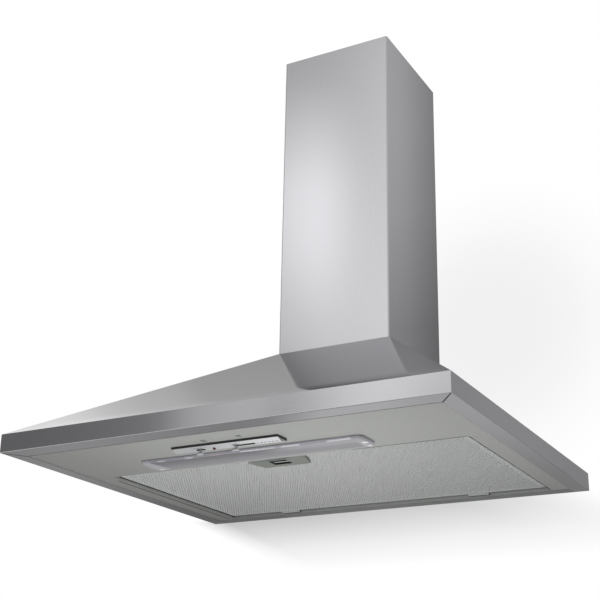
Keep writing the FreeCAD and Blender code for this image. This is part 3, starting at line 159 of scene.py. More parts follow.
def ramp(tree, value, stops):
    """Turn a strength into a colour through stops of (place, colour)."""
    made = node(tree, "ShaderNodeValToRGB")
    points = made.color_ramp.elements
    for point, (where, colour) in zip((points[0], points[1]), (stops[0], stops[-1])):
        point.position = where
        point.color = (*colour, 1)
    for where, colour in stops[1:-1]:
        points.new(where).color = (*colour, 1)
    tree.links.new(value, made.inputs["Fac"])
    return made.outputs["Color"]


def span(tree, value, low, high, out_low=0.0, out_high=1.0, kind="SMOOTHSTEP"):
    """Map a value from one range to another and hold it at both ends."""
    made = node(tree, "ShaderNodeMapRange", interpolation_type=kind)
    for name, number in (
        ("From Min", low),
        ("From Max", high),
        ("To Min", out_low),
        ("To Max", out_high),
    ):
        made.inputs[name].default_value = number
    tree.links.new(value, made.inputs["Value"])
    return made.outputs["Result"]


def fading(tree, value, edge, reach):
    """Go from 0 to 1 between two distances from an edge."""
    return span(tree, value, edge + reach[0], edge + reach[1])


def profile(tree, value, stops):
    """Turn a value into a level through stops of (place, level)."""
    first = stops[0][0]
    last = stops[-1][0]
    share = span(tree, value, first, last, kind="LINEAR")
    levels = [((place - first) / (last - first), (level,) * 3) for place, level in stops]
    return ramp(tree, share, levels)


def shade(colour, factor):
    """Return a colour made lighter or darker."""
    return tuple(min(1.0, part * factor) for part in colour)


# Materials
NOISE_LOW = 0.3
NOISE_HIGH = 0.7
ROUGH_SPREAD = 0.12
RELIEF_DEPTH = 0.0001
PAINT_SCALE = 500.0
PAINT_GRAIN = 0.04


def toned(tree, strength, colour, spread):
    """Vary a colour with a noise pattern."""
    stops = [(NOISE_LOW, shade(colour, 1 - spread)), (NOISE_HIGH, shade(colour, 1 + spread))]
    return ramp(tree, strength, stops)


def varied(tree, strength, low, high):
    """Vary a number with a noise pattern."""
    return span(tree, strength, NOISE_LOW, NOISE_HIGH, low, high)


def finish(name, colour, rough, metal, grain, scale, relief=0.1, patch=None):
    """Make a material whose colour, gloss and relief follow one noise pattern.

    A patch is another tone, with the mask that says where it is.
    """
    made, tree, shader = blank(name)
    strength = noise(tree, scale)
    tone = toned(tree, strength, colour, grain)
    if patch:
        patch_tone, mask = patch
        surface = node(tree, "ShaderNodeTexCoord").outputs
        covered = mask(tree, surface["Object"], surface["Normal"])
        tone = mixed(tree, covered, tone, (*patch_tone, 1.0))
    tree.links.new(tone, shader.inputs["Base Color"])
    gloss = varied(tree, strength, rough * (1 - ROUGH_SPREAD), rough * (1 + ROUGH_SPREAD))
    tree.links.new(gloss, shader.inputs["Roughness"])
    shader.inputs["Metallic"].default_value = metal
    relief_node = node(tree, "ShaderNodeBump")
    relief_node.inputs["Strength"].default_value = relief
    relief_node.inputs["Distance"].default_value = RELIEF_DEPTH
    tree.links.new(strength, relief_node.inputs["Height"])
    tree.links.new(relief_node.outputs["Normal"], shader.inputs["Normal"])
    return made


STEEL_TONE = (0.66, 0.655, 0.68)
STEEL_GRAIN = 0.015
STEEL_ROUGH = (0.08, 0.095)
STEEL_TINT = (0.85, 0.85, 0.85, 1)
FOLD_RADIUS = 0.0006
FOLD_SAMPLES = 6
CURL_REACH = 0.040
CURL = 0.05
CURL_POWER = 2.0
SLOPE_FACING = (0.6, 0.8)
DOWN_SLOPE = Vector((0.0, -0.88, -0.47))


def curled(tree, normal):
    """Turn the front slope's facing downwards near its lower fold, as the bent sheet does."""
    depth = split(tree, place_in(tree))["Y"]
    near_fold = span(tree, depth, CAD_LOW.y + CURL_REACH, CAD_LOW.y, kind="LINEAR")
    on_slope = span(tree, split(tree, normal)["Z"], *SLOPE_FACING, 0.0, CURL)
    turn = node(tree, "ShaderNodeVectorMath", operation="SCALE")
    turn.inputs[0].default_value = DOWN_SLOPE
    amount = product(tree, on_slope, combine(tree, "POWER", near_fold, CURL_POWER))
    tree.links.new(amount, turn.inputs["Scale"])
    total = node(tree, "ShaderNodeVectorMath", operation="ADD")
    tree.links.new(normal, total.inputs[0])
    tree.links.new(turn.outputs["Vector"], total.inputs[1])
    unit = node(tree, "ShaderNodeVectorMath", operation="NORMALIZE")
    tree.links.new(total.outputs["Vector"], unit.inputs[0])
    return unit.outputs["Vector"]


def steel_finish(name, stretch):
    """Make dull steel with a faint grain, whose folded edges catch a thin light."""
    made, tree, shader = blank(name)
    strength = noise(tree, 1.0, stretch)
    tree.links.new(toned(tree, strength, STEEL_TONE, STEEL_GRAIN), shader.inputs["Base Color"])
    tree.links.new(varied(tree, strength, *STEEL_ROUGH), shader.inputs["Roughness"])
    shader.inputs["Metallic"].default_value = 1.0
    shader.inputs["Specular Tint"].default_value = STEEL_TINT
    edge = node(tree, "ShaderNodeBevel", samples=FOLD_SAMPLES)
    edge.inputs["Radius"].default_value = FOLD_RADIUS
    tree.links.new(curled(tree, edge.outputs["Normal"]), shader.inputs["Normal"])
    return made


def layered(name, first, rough, layers, gloss=0.5):
    """Make a material of one colour and further ones where masks of place and facing say so."""
    made, tree, shader = blank(name)
    strength = noise(tree, PAINT_SCALE)
    surface = node(tree, "ShaderNodeTexCoord").outputs
    colour = toned(tree, strength, first, PAINT_GRAIN)
    for tone, mask in layers:
        covered = mask(tree, surface["Object"], surface["Normal"])
        colour = mixed(tree, covered, colour, toned(tree, strength, tone, PAINT_GRAIN))
    tree.links.new(colour, shader.inputs["Base Color"])
    shader.inputs["Roughness"].default_value = rough
    shader.inputs["Specular IOR Level"].default_value = gloss
    return made


# Masks that say where a tone changes
FACING_LOW = 0.4
FACING_HIGH = 0.6
SOFT_EDGE = 0.0002
PLATE_LOW, PLATE_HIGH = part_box("latch_plate")
LATCH_MIDDLE = (PLATE_LOW.x + PLATE_HIGH.x) / 2
WINDOW_REACH = 0.0130
PLATE_BORDER = 0.001
FRAME_LOW, FRAME_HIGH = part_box("filter_frame")
TAB_REACH = (-0.0110, -0.0100)
OPENING_REACH = (-0.004, -0.006)
OPENING_LIGHT = (-0.06, 0.06)
# Span over which painted shade darkens the panel's left end
PANEL_SHADE_SPAN = (-0.06, -0.24)
FILTER_WALL_LEVEL = (0.0038, 0.0044)
FILTER_END_INSET = 0.001
BEHIND_SHARE = 0.25
FASCIA_LOW, FASCIA_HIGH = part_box("control_fascia")
FASCIA_RUN = 0.010
FASCIA_EDGE = Vector((0, FASCIA_LOW.y, FASCIA_HIGH.z))
# Span over which painted light whitens the fascia towards its right end
FASCIA_LIT_SPAN = (-0.06, 0.05)
FASCIA_END = 0.0006
SLIDER_REACH = (-0.0002, -0.0005)
SLOPE_WAY = Vector((0, FASCIA_RUN, FASCIA_LOW.z - FASCIA_HIGH.z)).normalized()
SLOPE_OUT = Vector((0, SLOPE_WAY.z, -SLOPE_WAY.y))


def upright(tree, normal):
    """Return 1 on walls and 0 on level faces."""
    return span(tree, combine(tree, "ABSOLUTE", split(tree, normal)["Z"]), FACING_HIGH, FACING_LOW)


def within(tree, value, low, high):
    """Return 1 between two limits."""
    rising = span(tree, value, low - SOFT_EDGE, low + SOFT_EDGE)
    falling = span(tree, value, high - SOFT_EDGE, high + SOFT_EDGE, 1.0, 0.0)
    return product(tree, rising, falling)


def button_mask(tree, place, normal):
    """Return 1 on all of the latch button but the face under the finger, which gets black painted shade.
    """
    slide = fading(tree, split(tree, place)["Z"], PLATE_HIGH.z, (-SOFT_EDGE, SOFT_EDGE))
    sides = span(tree, split(tree, normal)["Z"], -FACING_HIGH, -FACING_LOW)
    return combine(tree, "MAXIMUM", slide, sides)


def window_mask(tree, place, normal):
    """Return 1 on the walls of the latch plate's window, which are painted black as painted shade."""
    parts = split(tree, place)
    level = within(tree, parts["X"], LATCH_MIDDLE - WINDOW_REACH, LATCH_MIDDLE + WINDOW_REACH)
    deep = within(tree, parts["Y"], PLATE_LOW.y + PLATE_BORDER, PLATE_HIGH.y - PLATE_BORDER)
    return product(tree, level, deep, upright(tree, normal))


def plate_edge_light_mask(tree, place, normal):
    """Return 1 on the latch plate's front edge, which is painted pale as painted light against its
    shade.
    """
    ahead = fading(tree, split(tree, place)["Y"], PLATE_LOW.y, (PLATE_BORDER, 0.0))
    return product(tree, ahead, upright(tree, normal))


def panel_left_shade_mask(tree, place, normal):
    """Return up to 1 towards the panel's left end, which is painted darker as painted shade."""
    return span(tree, split(tree, place)["X"], *PANEL_SHADE_SPAN)


def opening_mask(tree, place, normal):
    """Return 1 on the walls of the panel's front openings."""
    ahead = fading(tree, split(tree, place)["Y"], FRAME_LOW.y, OPENING_REACH)
    return product(tree, ahead, upright(tree, normal))


def opening_right_mask(tree, place, normal):
    """Return up to 1 towards the right of the front openings' walls, which more light reaches."""
    to_right = span(tree, split(tree, place)["X"], *OPENING_LIGHT)
    return product(tree, to_right, opening_mask(tree, place, normal))


def beside_filter_mask(tree, place, normal):
    """Return 1 deep on the panel's walls at the filter's ends and less on the wall behind it."""
    parts = split(tree, place)
    deep = span(tree, parts["Z"], *FILTER_WALL_LEVEL)
    aside = combine(tree, "ABSOLUTE", parts["X"])
    ends = span(tree, aside, FRAME_HIGH.x - FILTER_END_INSET, FRAME_HIGH.x, BEHIND_SHARE, 1.0)
    return product(tree, deep, ends, upright(tree, normal))


def slot_mask(tree, place, normal):
    """Return 1 on the walls of the fascia's slots and on its edges, which are painted dark as painted
    shade.
    """
    return span(tree, along(tree, normal, SLOPE_OUT), FACING_HIGH, FACING_LOW)


def fascia_right_light_mask(tree, place, normal):
    """Return up to 1 towards the fascia's right end, which is painted whiter as painted light."""
    return span(tree, split(tree, place)["X"], *FASCIA_LIT_SPAN)


def fascia_end_shade_mask(tree, place, normal):
    """Return 1 on the fascia's two ends, which are painted grey as painted shade."""
    across = split(tree, place)["X"]
    left = fading(tree, across, FASCIA_LOW.x, (FASCIA_END, SOFT_EDGE))
    right = fading(tree, across, FASCIA_HIGH.x, (-FASCIA_END, -SOFT_EDGE))
    return combine(tree, "MAXIMUM", left, right)


def slider_mask(tree, place, normal):
    """Return 1 on the part of a slider that is inside the fascia, which is painted black as painted
    shade.
    """
    return fading(tree, along(tree, place, SLOPE_OUT), FASCIA_EDGE.dot(SLOPE_OUT), SLIDER_REACH)


def tab_mask(tree, place, normal):
    """Return 1 on the filter's hinge tabs, which are in shade."""
    return fading(tree, split(tree, place)["Y"], FRAME_HIGH.y, TAB_REACH)


# The lamp's lens, with painted light and shade in tones from its front to its back
LILAC = (0.98, 0.975, 1.05)
# Painted light and shade across the lens from front to back, darkest at the front left
LENS_LEFT = ((0.00, 0.24), (0.14, 0.20), (0.50, 0.30), (0.80, 0.40), (1.00, 0.44))
LENS_RIGHT = ((0.00, 0.44), (0.35, 0.41), (0.52, 0.31), (0.80, 0.31), (0.90, 0.39), (1.00, 0.40))
LENS_TURN = (-0.010, 0.060)
LENS_ROUGH = 0.18
LENS_CLEAR = 0.08
STREAK_STRETCH = (12, 220, 220)
STREAK_LEVEL = 0.05
# Painted light: a paler front wall
FRONT_REACH = (0.0008, 0.0004)
FRONT_TONES = ((0.0, (0.50, 0.49, 0.55)), (0.1, (0.58, 0.57, 0.64)))
# Painted reflections: pink, lilac and white dashes along the front
DASH_STRETCH = (26, 1, 1)
DASH_DETAIL = 1.0
DASH_DEPTH = (0.0030, 0.0022)
DASH_HEIGHT = (0.0014, 0.0008)
DASH_TONES = (
    (0.36, (0.58, 0.47, 0.49)),
    (0.42, (0.44, 0.43, 0.48)),
    (0.53, (0.44, 0.43, 0.48)),
    (0.58, (0.85, 0.85, 0.90)),
)
# Painted highlights on the bevelled ends
RIM_SLANT = 0.0085
LEFT_RIM = (0.0155, 0.0135)
LEFT_RIM_TONES = ((0.2, (0.56, 0.56, 0.61)), (0.8, (0.62, 0.62, 0.67)))
RIGHT_RIM = (-0.0150, -0.0130)
RIGHT_RIM_TONES = ((0.2, (0.42, 0.42, 0.46)), (0.8, (0.50, 0.50, 0.55)))
# Painted glints, white at three points
GLINT_REACH = (0.0050, 0.0025)
LEFT_GLINT = (0.0095, -0.0050)
RIGHT_GLINTS = ((-0.0060, -0.0200), (-0.0060, -0.0040))


def lens_finish():
    """Frosted lilac plastic, painted darker at the front left, with painted highlights on its pale
    bevelled ends, painted reflections as dashes and painted glints.
    """
    made, tree, shader = blank("frosted_lens")
    low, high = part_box("lamp_lens")
    place = place_in(tree)
    parts = split(tree, place)
    streaks = varied(tree, noise(tree, 1.0, STREAK_STRETCH), -STREAK_LEVEL, STREAK_LEVEL)
    depth = span(tree, parts["Y"], low.y, high.y, kind="LINEAR")
    streaked = combine(tree, "ADD", depth, streaks)
    left_side, right_side = (
        ramp(tree, streaked, [(where, shade(LILAC, level)) for where, level in stops])
        for stops in (LENS_LEFT, LENS_RIGHT)
    )
    colour = mixed(tree, span(tree, parts["X"], *LENS_TURN), left_side, right_side)
    slanted = combine(tree, "SUBTRACT", parts["X"], product(tree, depth, RIM_SLANT))
    dashes = product(
        tree,
        fading(tree, parts["Y"], low.y, DASH_DEPTH),
        fading(tree, parts["Z"], low.z, DASH_HEIGHT),
    )
    dash_pattern = noise(tree, 1.0, DASH_STRETCH, DASH_DETAIL)
    for covered, strength, tones in (
        (fading(tree, parts["Y"], low.y, FRONT_REACH), streaked, FRONT_TONES),
        (dashes, dash_pattern, DASH_TONES),
        (fading(tree, slanted, low.x, LEFT_RIM), streaked, LEFT_RIM_TONES),
        (fading(tree, parts["X"], high.x, RIGHT_RIM), streaked, RIGHT_RIM_TONES),
    ):
        colour = mixed(tree, covered, colour, ramp(tree, strength, tones))
    glints = [(low.x + LEFT_GLINT[0], high.y + LEFT_GLINT[1], low.z)]
    glints.extend((high.x + x, high.y + y, low.z) for x, y in RIGHT_GLINTS)
    for glint in glints:
        near = span(tree, distance(tree, place, glint), *GLINT_REACH)
        colour = mixed(tree, near, colour, FULL_WHITE)
    tree.links.new(colour, shader.inputs["Base Color"])
    shader.inputs["Roughness"].default_value = LENS_ROUGH
    shader.inputs["Transmission Weight"].default_value = LENS_CLEAR
    return made


# Colours and finishes of the parts
# Painted shade: near black in the latch's window, on its button's sides and on the sliders inside the
# fascia
SHADE_BLACK = (0.012, 0.012, 0.012)
SHADOW = (0.04, 0.042, 0.04)
# Painted shade: dark grey on the fascia's slot walls and edges, the front openings' walls towards their
# right and the filter's hinge tabs
SHADE_GREY = (0.12, 0.125, 0.125)
WHITE = (0.54, 0.55, 0.56)
# Painted light: a whiter tone for the fascia's right end
LIT_WHITE = (0.80, 0.81, 0.82)
LATCH_GREY = (0.235, 0.254, 0.225)
BUTTON_GREY = (0.34, 0.36, 0.33)
PANEL_GREY = (0.445, 0.455, 0.435)
# Painted shade: a darker grey for the panel's left end
SHADED_PANEL_GREY = shade(PANEL_GREY, 0.88)
FILTER_METAL = (0.70, 0.71, 0.70)
steel_level = steel_finish("steel_level", (60, 500, 500))
steel_upright = steel_finish("steel_upright", (500, 500, 60))
zinc = finish("zinc", (0.52, 0.53, 0.54), 0.45, 0.9, 0.12, 45.0)
# Painted shade: a darker copy of zinc for the back panel, whose bottom lip lies in shade
shaded_zinc = finish("shaded_zinc", (0.31, 0.315, 0.32), 0.45, 0.35, 0.12, 45.0)
bright_steel = finish("bright_steel", (0.60, 0.60, 0.61), 0.28, 1.0, 0.05, 300.0)
aluminium = finish("aluminium", FILTER_METAL, 0.42, 0.6, 0.05, 220.0)
frame_metal = finish("frame_metal", FILTER_METAL, 0.42, 0.6, 0.05, 220.0, patch=(SHADE_GREY, tab_mask))
strand_metal = finish("strand_metal", (0.94, 0.95, 0.95), 0.4, 0.0, 0.04, 300.0)
# Painted shade: the filter's core is near black for the shade deep between the strands
shaded_core = finish("shaded_core", (0.135, 0.135, 0.135), 0.55, 0.1, 0.08, 320.0, relief=0.3)
pale_plastic = finish("pale_plastic", (0.46, 0.47, 0.47), 0.5, 0.0, 0.05, 500.0)
dark_plastic = finish("dark_plastic", (0.02, 0.02, 0.021), 0.45, 0.0, 0.2, 500.0)
white_plastic = finish("white_plastic", WHITE, 0.35, 0.0, 0.02, 400.0, relief=0.03)
red_plastic = finish("red_plastic", (0.10, 0.018, 0.022), 0.25, 0.0, 0.15, 300.0)
pearl_glass = finish("pearl_glass", (0.82, 0.82, 0.80), 0.2, 0.0, 0.03, 90.0)
print_ink = finish("print_ink", (0.16, 0.165, 0.165), 0.6, 0.0, 0.1, 800.0)
seam_shadow = finish("seam_shadow", (0.02, 0.02, 0.02), 0.7, 0.0, 0.2, 500.0)
hem_shadow = finish("hem_shadow", (0.23, 0.23, 0.225), 0.6, 0.0, 0.1, 500.0)
# Painted shade: the liners carry the shaded tone of the filter's flange wall
liner_grey = finish("liner_grey", (0.34, 0.35, 0.335), 0.45, 0.0, 0.05, 500.0)
frosted_lens = lens_finish()
panel_layers = [
    (SHADED_PANEL_GREY, panel_left_shade_mask),
    (SHADOW, opening_mask),
    (SHADE_GREY, opening_right_mask),
    (SHADOW, beside_filter_mask),
]
panel_paint = layered("panel_paint", PANEL_GREY, 0.42, panel_layers, gloss=0.25)
plate_layers = [(WHITE, plate_edge_light_mask), (SHADE_BLACK, window_mask)]
latch_plate_grey = layered("latch_plate_grey", LATCH_GREY, 0.5, plate_layers)
latch_button_grey = layered("latch_button_grey", BUTTON_GREY, 0.5, [(SHADE_BLACK, button_mask)])
fascia_layers = [(LIT_WHITE, fascia_right_light_mask), (SHADE_GREY, slot_mask), (PANEL_GREY, fascia_end_shade_mask)]
fascia_white = layered("fascia_white", WHITE, 0.35, fascia_layers)
slider_white = layered("slider_white", WHITE, 0.35, [(SHADE_BLACK, slider_mask)])
FINISHES = {
    steel_level: ["canopy_front", "canopy_left", "canopy_right"],
    steel_upright: ["flue_cover", "flue_extension"],
    zinc: ["flue_bracket", "lamp_box", "blower_plate"],
    shaded_zinc: ["back_panel"],
    bright_steel: ["latch_spring", "casing_screws", "motor_bearings", "motor_shaft", "flap_rod"],
    panel_paint: ["underside_panel"],
    aluminium: ["filter_face_mesh", "filter_back_mesh", "motor_body"],
    frame_metal: ["filter_frame"],
    shaded_core: ["filter_core"],
    latch_plate_grey: ["latch_plate"],
    latch_button_grey: ["latch_button"],
    frosted_lens: ["lamp_lens"],
    pale_plastic: [
        "casing_left",
        "casing_right",
        "inlet_guard_left",
        "inlet_guard_right",
        "fan_wheel_left",
        "fan_wheel_right",
        "flap_left",
        "flap_right",
    ],
    dark_plastic: [
        "control_housing",
        "switch_unit",
        "lampholders",
        "motor_foot",
        "outlet_collar",
        "cable_gland",
    ],
    fascia_white: ["control_fascia"],
    slider_white: ["light_slider", "speed_slider"],
    white_plastic: ["capacitor", "terminal_box", "terminal_cover"],
    red_plastic: ["indicator_lens"],
    pearl_glass: ["lamp_left", "lamp_right"],
}
for material, names in FINISHES.items():
    for name in names:
        NODES[name].data.materials.clear()
        NODES[name].data.materials.append(material)


# New pieces
def placed(name, data):
    """Make an object of some data and put it in the scene."""
    made = bpy.data.objects.new(name, data)
    SCENE.collection.objects.link(made)
    return made


def mesh_object(name, corners, faces, material):
    """Make an object from corners and faces."""
    data = bpy.data.meshes.new(name)
    data.from_pydata(corners, [], faces)
    data.update()
    data.materials.append(material)
    return placed(name, data)


BLOCK_FACES = [(0, 3, 2, 1), (4, 5, 6, 7), (0, 1, 5, 4), (1, 2, 6, 5), (2, 3, 7, 6), (3, 0, 4, 7)]
SQUARE = ((-1, -1), (1, -1), (1, 1), (-1, 1))


def block(centre, length, width, height):
    """Return the corners of a block from its centre and three half edges."""
    return [centre + a * length + b * width + c * height for c in (-1, 1) for a, b in SQUARE]


def straight_block(centre, half):
    """Return the corners of a block along the axes from its centre and half sizes."""
    x, y, z = half
    return block(centre, Vector((x, 0, 0)), Vector((0, y, 0)), Vector((0, 0, z)))


def blocks_piece(name, blocks, material, body):
    """Make one piece from several blocks and let it ride on a body."""
    corners = []
    faces = []
    for corner_set in blocks:
        first = len(corners)
        corners.extend(corner_set)
        faces.extend(tuple(first + index for index in face) for face in BLOCK_FACES)
    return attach(mesh_object(name, corners, faces, material), body)


def stretch_in_box(start, way, low, high):
    """Return the stretch of a line that lies in a rectangle, or None."""
    near = -math.inf
    far = math.inf
    for axis in (0, 1):
        ends = sorted((edge[axis] - start[axis]) / way[axis] for edge in (low, high))
        near = max(near, ends[0])
        far = min(far, ends[1])
    return (near, far) if near < far else None


# Wire meshes of the filter, the one on its face open at the latch
MESH_PITCH = 0.0038
STRAND_HALF = 0.00066
STRAND_LEAN = 0.5
SHORTEST_STRAND = 0.002
POCKET_HALF = 0.0185
POCKET_AHEAD = 0.01
POCKET_BEHIND = 0.0003


def strands(low, high, hole):
    """Return the blocks of a diamond mesh in a rectangle, left open over a hole."""
    made = []
    up = Vector((0, 0, (high.z - low.z) / 2))
    middle = (low.z + high.z) / 2
    for side in (-1, 1):
        way = Vector((side * STRAND_LEAN, math.sqrt(1 - STRAND_LEAN**2)))
        across = Vector((way.y, -way.x, 0)) * STRAND_HALF
        reach = (high.y - low.y) * STRAND_LEAN / way.y
        count = int((high.x - low.x + 2 * reach) / MESH_PITCH)
        for number in range(count):
            start = Vector((low.x - reach + number * MESH_PITCH, (low.y + high.y) / 2))
            whole = stretch_in_box(start, way, low, high)
            if whole is None:
                continue
            gap = stretch_in_box(start, way, *hole) if hole else None
            kept = [whole]
            if gap and gap[1] > whole[0] and gap[0] < whole[1]:
                kept = [(whole[0], gap[0]), (gap[1], whole[1])]
            for near, far in kept:
                if far - near < SHORTEST_STRAND:
                    continue
                half = (far - near) / 2
                centre = start + way * (near + half)
                length = Vector((way.x, way.y, 0)) * half
                made.append(block(Vector((centre.x, centre.y, middle)), length, across, up))
    return made


pocket = (
    Vector((LATCH_MIDDLE - POCKET_HALF, PLATE_LOW.y - POCKET_AHEAD)),
    Vector((LATCH_MIDDLE + POCKET_HALF, PLATE_HIGH.y + POCKET_BEHIND)),
)
for name, node_name, hole in (
    ("face_strands", "filter_face_mesh", pocket),
    ("back_strands", "filter_back_mesh", None),
):
    piece = blocks_piece(name, strands(*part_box(node_name), hole), strand_metal, "filter")
    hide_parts(node_name)

# Print on the sloping fascia and on the panel in front of it
INK = 0.00005
TICK_COUNT = 6
TICK_START = 0.0245
TICK_STEP = 0.0052
TICK_DOWN = 0.0083
TICK_SIZE = (0.0034, 0.0009)
DOT_DOWN = 0.0035
DOT_SIZE = (0.0010, 0.0010)
DOTS_LEFT = (0.006, 0.003)
DOT_RIGHT = 0.004
MARK_PLACES = ((-0.0375, -0.441), (0.0122, -0.443))
MARK_APART = 0.0018
MARK_HALF = Vector((0.0012, 0.0038, INK))


def fascia_dash(x, down, length, width):
    """Return a printed dash on the sloping face."""
    centre = FASCIA_EDGE + SLOPE_WAY * down + SLOPE_OUT * INK + Vector((x, 0, 0))
    return block(centre, Vector((length / 2, 0, 0)), SLOPE_WAY * (width / 2), SLOPE_OUT * INK)


tick_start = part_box("speed_slider")[1].x + TICK_START
ticks = [fascia_dash(tick_start + step * TICK_STEP, TICK_DOWN, *TICK_SIZE) for step in range(TICK_COUNT)]
light_low, light_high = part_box("light_slider")
dot_places = [light_low.x - out for out in DOTS_LEFT] + [light_high.x + DOT_RIGHT]
ticks.extend(fascia_dash(x, DOT_DOWN, *DOT_SIZE) for x in dot_places)
piece = blocks_piece("fascia_ticks", ticks, print_ink, "hood_body")
panel_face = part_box("underside_panel")[0].z
marks = []
for x, y in MARK_PLACES:
    for offset in (-MARK_APART, MARK_APART):
        marks.append(straight_block(Vector((x + offset, y, panel_face - INK)), MARK_HALF))
piece = blocks_piece("panel_marks", marks, print_ink, "hood_body")

# Joints of the bottom lip, painted shadow along its inner edges and in lines beside the filter, and
# liners at its hinge tabs in a painted shade grey
LIP_FRONT = 0.028
LIP_SIDE = 0.021
SEAM_HALF = 0.0007
SEAM_INSET = (0.001, 0.0015)
HEM_WIDTH = 0.0014
FILTER_GAP = 0.0015
FRONT_LINE_START = 0.105
FRONT_LINE_WIDTH = 0.0015
RIGHT_LINE_WIDTH = 0.0012
LEFT_LINE_START = 0.02
LEFT_LINE_OUT = (0.0070, 0.0050)
TAB_PLACE = 0.150
LINER_OUT = 0.01665
LINER_AHEAD = 0.007
LINER_UP = 0.001
LINER_HALF = Vector((0.00135, 0.0009, 0.0029))
inner_x = CAD_HIGH.x - LIP_SIDE
inner_y = CAD_LOW.y + LIP_FRONT
opening_x = FRAME_HIGH.x + FILTER_GAP
opening_y = FRAME_LOW.y - FILTER_GAP
opening_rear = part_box("filter_face_mesh")[1].y


def level_strip(x, y, z):
    """Return a thin strip under a level face from its low and high ends."""
    centre = Vector((sum(x) / 2, sum(y) / 2, z - INK))
    return straight_block(centre, ((x[1] - x[0]) / 2, (y[1] - y[0]) / 2, INK))


seams = []
for side in (-1, 1):
    outer = Vector((side * (CAD_HIGH.x - SEAM_INSET[0]), CAD_LOW.y + SEAM_INSET[1], -INK))
    inner = Vector((side * inner_x, inner_y, -INK))
    half = (inner - outer) / 2
    across = Vector((-half.y, half.x, 0)).normalized() * SEAM_HALF
    seams.append(block((inner + outer) / 2, half, across, Vector((0, 0, INK))))
# Painted shadow along the lip's inner front and left edges
hem_shades = [
    level_strip((-inner_x, inner_x), (inner_y - HEM_WIDTH, inner_y), 0.0),
    level_strip((-inner_x - HEM_WIDTH, -inner_x), (inner_y, opening_rear), 0.0),
]
left_line = tuple(-opening_x - out for out in LEFT_LINE_OUT)
# Painted shadow lines in front of, right of and left of the filter
gap_shades = [
    level_strip((FRONT_LINE_START, opening_x), (opening_y - FRONT_LINE_WIDTH, opening_y), panel_face),
    level_strip((opening_x, opening_x + RIGHT_LINE_WIDTH), (opening_y, opening_rear), panel_face),
    level_strip(left_line, (opening_y + LEFT_LINE_START, opening_rear), panel_face),
]
liners = []
for tab in (-TAB_PLACE, TAB_PLACE):
    for out in (-LINER_OUT, LINER_OUT):
        centre = Vector((tab + out, FRAME_HIGH.y - LINER_AHEAD, panel_face + LINER_UP + LINER_HALF.z))
        liners.append(straight_block(centre, LINER_HALF))
for name, blocks, material, slot in (
    ("notch_liners", liners, liner_grey, "underside_panel"),
    ("lip_seams", seams, seam_shadow, "canopy_front"),
    ("lip_hem_shades", hem_shades, hem_shadow, "canopy_front"),
    ("filter_gap_shades", gap_shades, seam_shadow, "underside_panel"),
):
    piece = blocks_piece(name, blocks, material, "hood_body")

# The latch spring, copied to ride on the filter with a mesh of its own
spring_data = NODES["latch_spring"].data.copy()
spring_data.transform(NODES["latch_spring"].matrix_world)
spring = placed("spring_coil", spring_data)
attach(spring, "filter")
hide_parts("latch_spring")
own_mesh(spring)


# Stage helpers
def shown_to(tree, *rays):
    """Return 1 for the named kinds of ray and 0 for the others."""
    path = node(tree, "ShaderNodeLightPath").outputs
    total = 0.0
    for ray in rays:
        total = combine(tree, "MAXIMUM", total, path[f"Is {ray} Ray"])
    return total


def from_behind(tree):
    """Return 1 where a sheet is seen from its back."""
    return node(tree, "ShaderNodeNewGeometry").outputs["Backfacing"]


def seen_through(tree, shader, share, tint):
    """Make a share of a material clear, with a tint on what is seen through it."""
    clear = node(tree, "ShaderNodeBsdfTransparent")
    feed(tree, clear.inputs["Color"], tint)
    both = node(tree, "ShaderNodeMixShader")
    tree.links.new(share, both.inputs[0])
    tree.links.new(shader.outputs["BSDF"], both.inputs[1])
    tree.links.new(clear.outputs["BSDF"], both.inputs[2])
    tree.links.new(both.outputs["Shader"], tree.nodes["Material Output"].inputs["Surface"])


# Round floor, shown paler than the light on it, white far off and clear from below
FLOOR_REACH = 40.0
FLOOR_LEVEL = -1.3
FLOOR_SIDES = 64
FLOOR_TONE = (0.72, 0.72, 0.72)
FLOOR_FADE = (1.5, 9.0)
FLOOR_LIFT = (0.48, 0.74)
FLOOR_MIRRORED = (2.0, 3.5)
floor_paint = finish("floor_paint", FLOOR_TONE, 0.8, 0.0, 0.01, 2.0, relief=0.0)
floor_tree = floor_paint.node_tree
floor_shader = floor_tree.nodes["Principled BSDF"]
floor_far = distance(floor_tree, place_in(floor_tree), (0, 0, 0))
floor_lift = span(floor_tree, floor_far, *FLOOR_FADE, *FLOOR_LIFT)
floor_tree.links.new(floor_lift, floor_shader.inputs["Emission Color"])
mirrored = product(
    floor_tree,
    shown_to(floor_tree, "Glossy"),
    span(floor_tree, floor_far, *FLOOR_MIRRORED),
)
floor_tree.links.new(
    combine(floor_tree, "MAXIMUM", shown_to(floor_tree, "Camera", "Transmission"), mirrored),
    floor_shader.inputs["Emission Strength"],
)
seen_through(floor_tree, floor_shader, from_behind(floor_tree), FULL_WHITE)
floor_corners = []
for number in range(FLOOR_SIDES):
    turned = 2 * math.pi * number / FLOOR_SIDES
    floor_corners.append((FLOOR_REACH * math.cos(turned), FLOOR_REACH * math.sin(turned), FLOOR_LEVEL))
mesh_object("floor", floor_corners, [tuple(range(FLOOR_SIDES))], floor_paint)

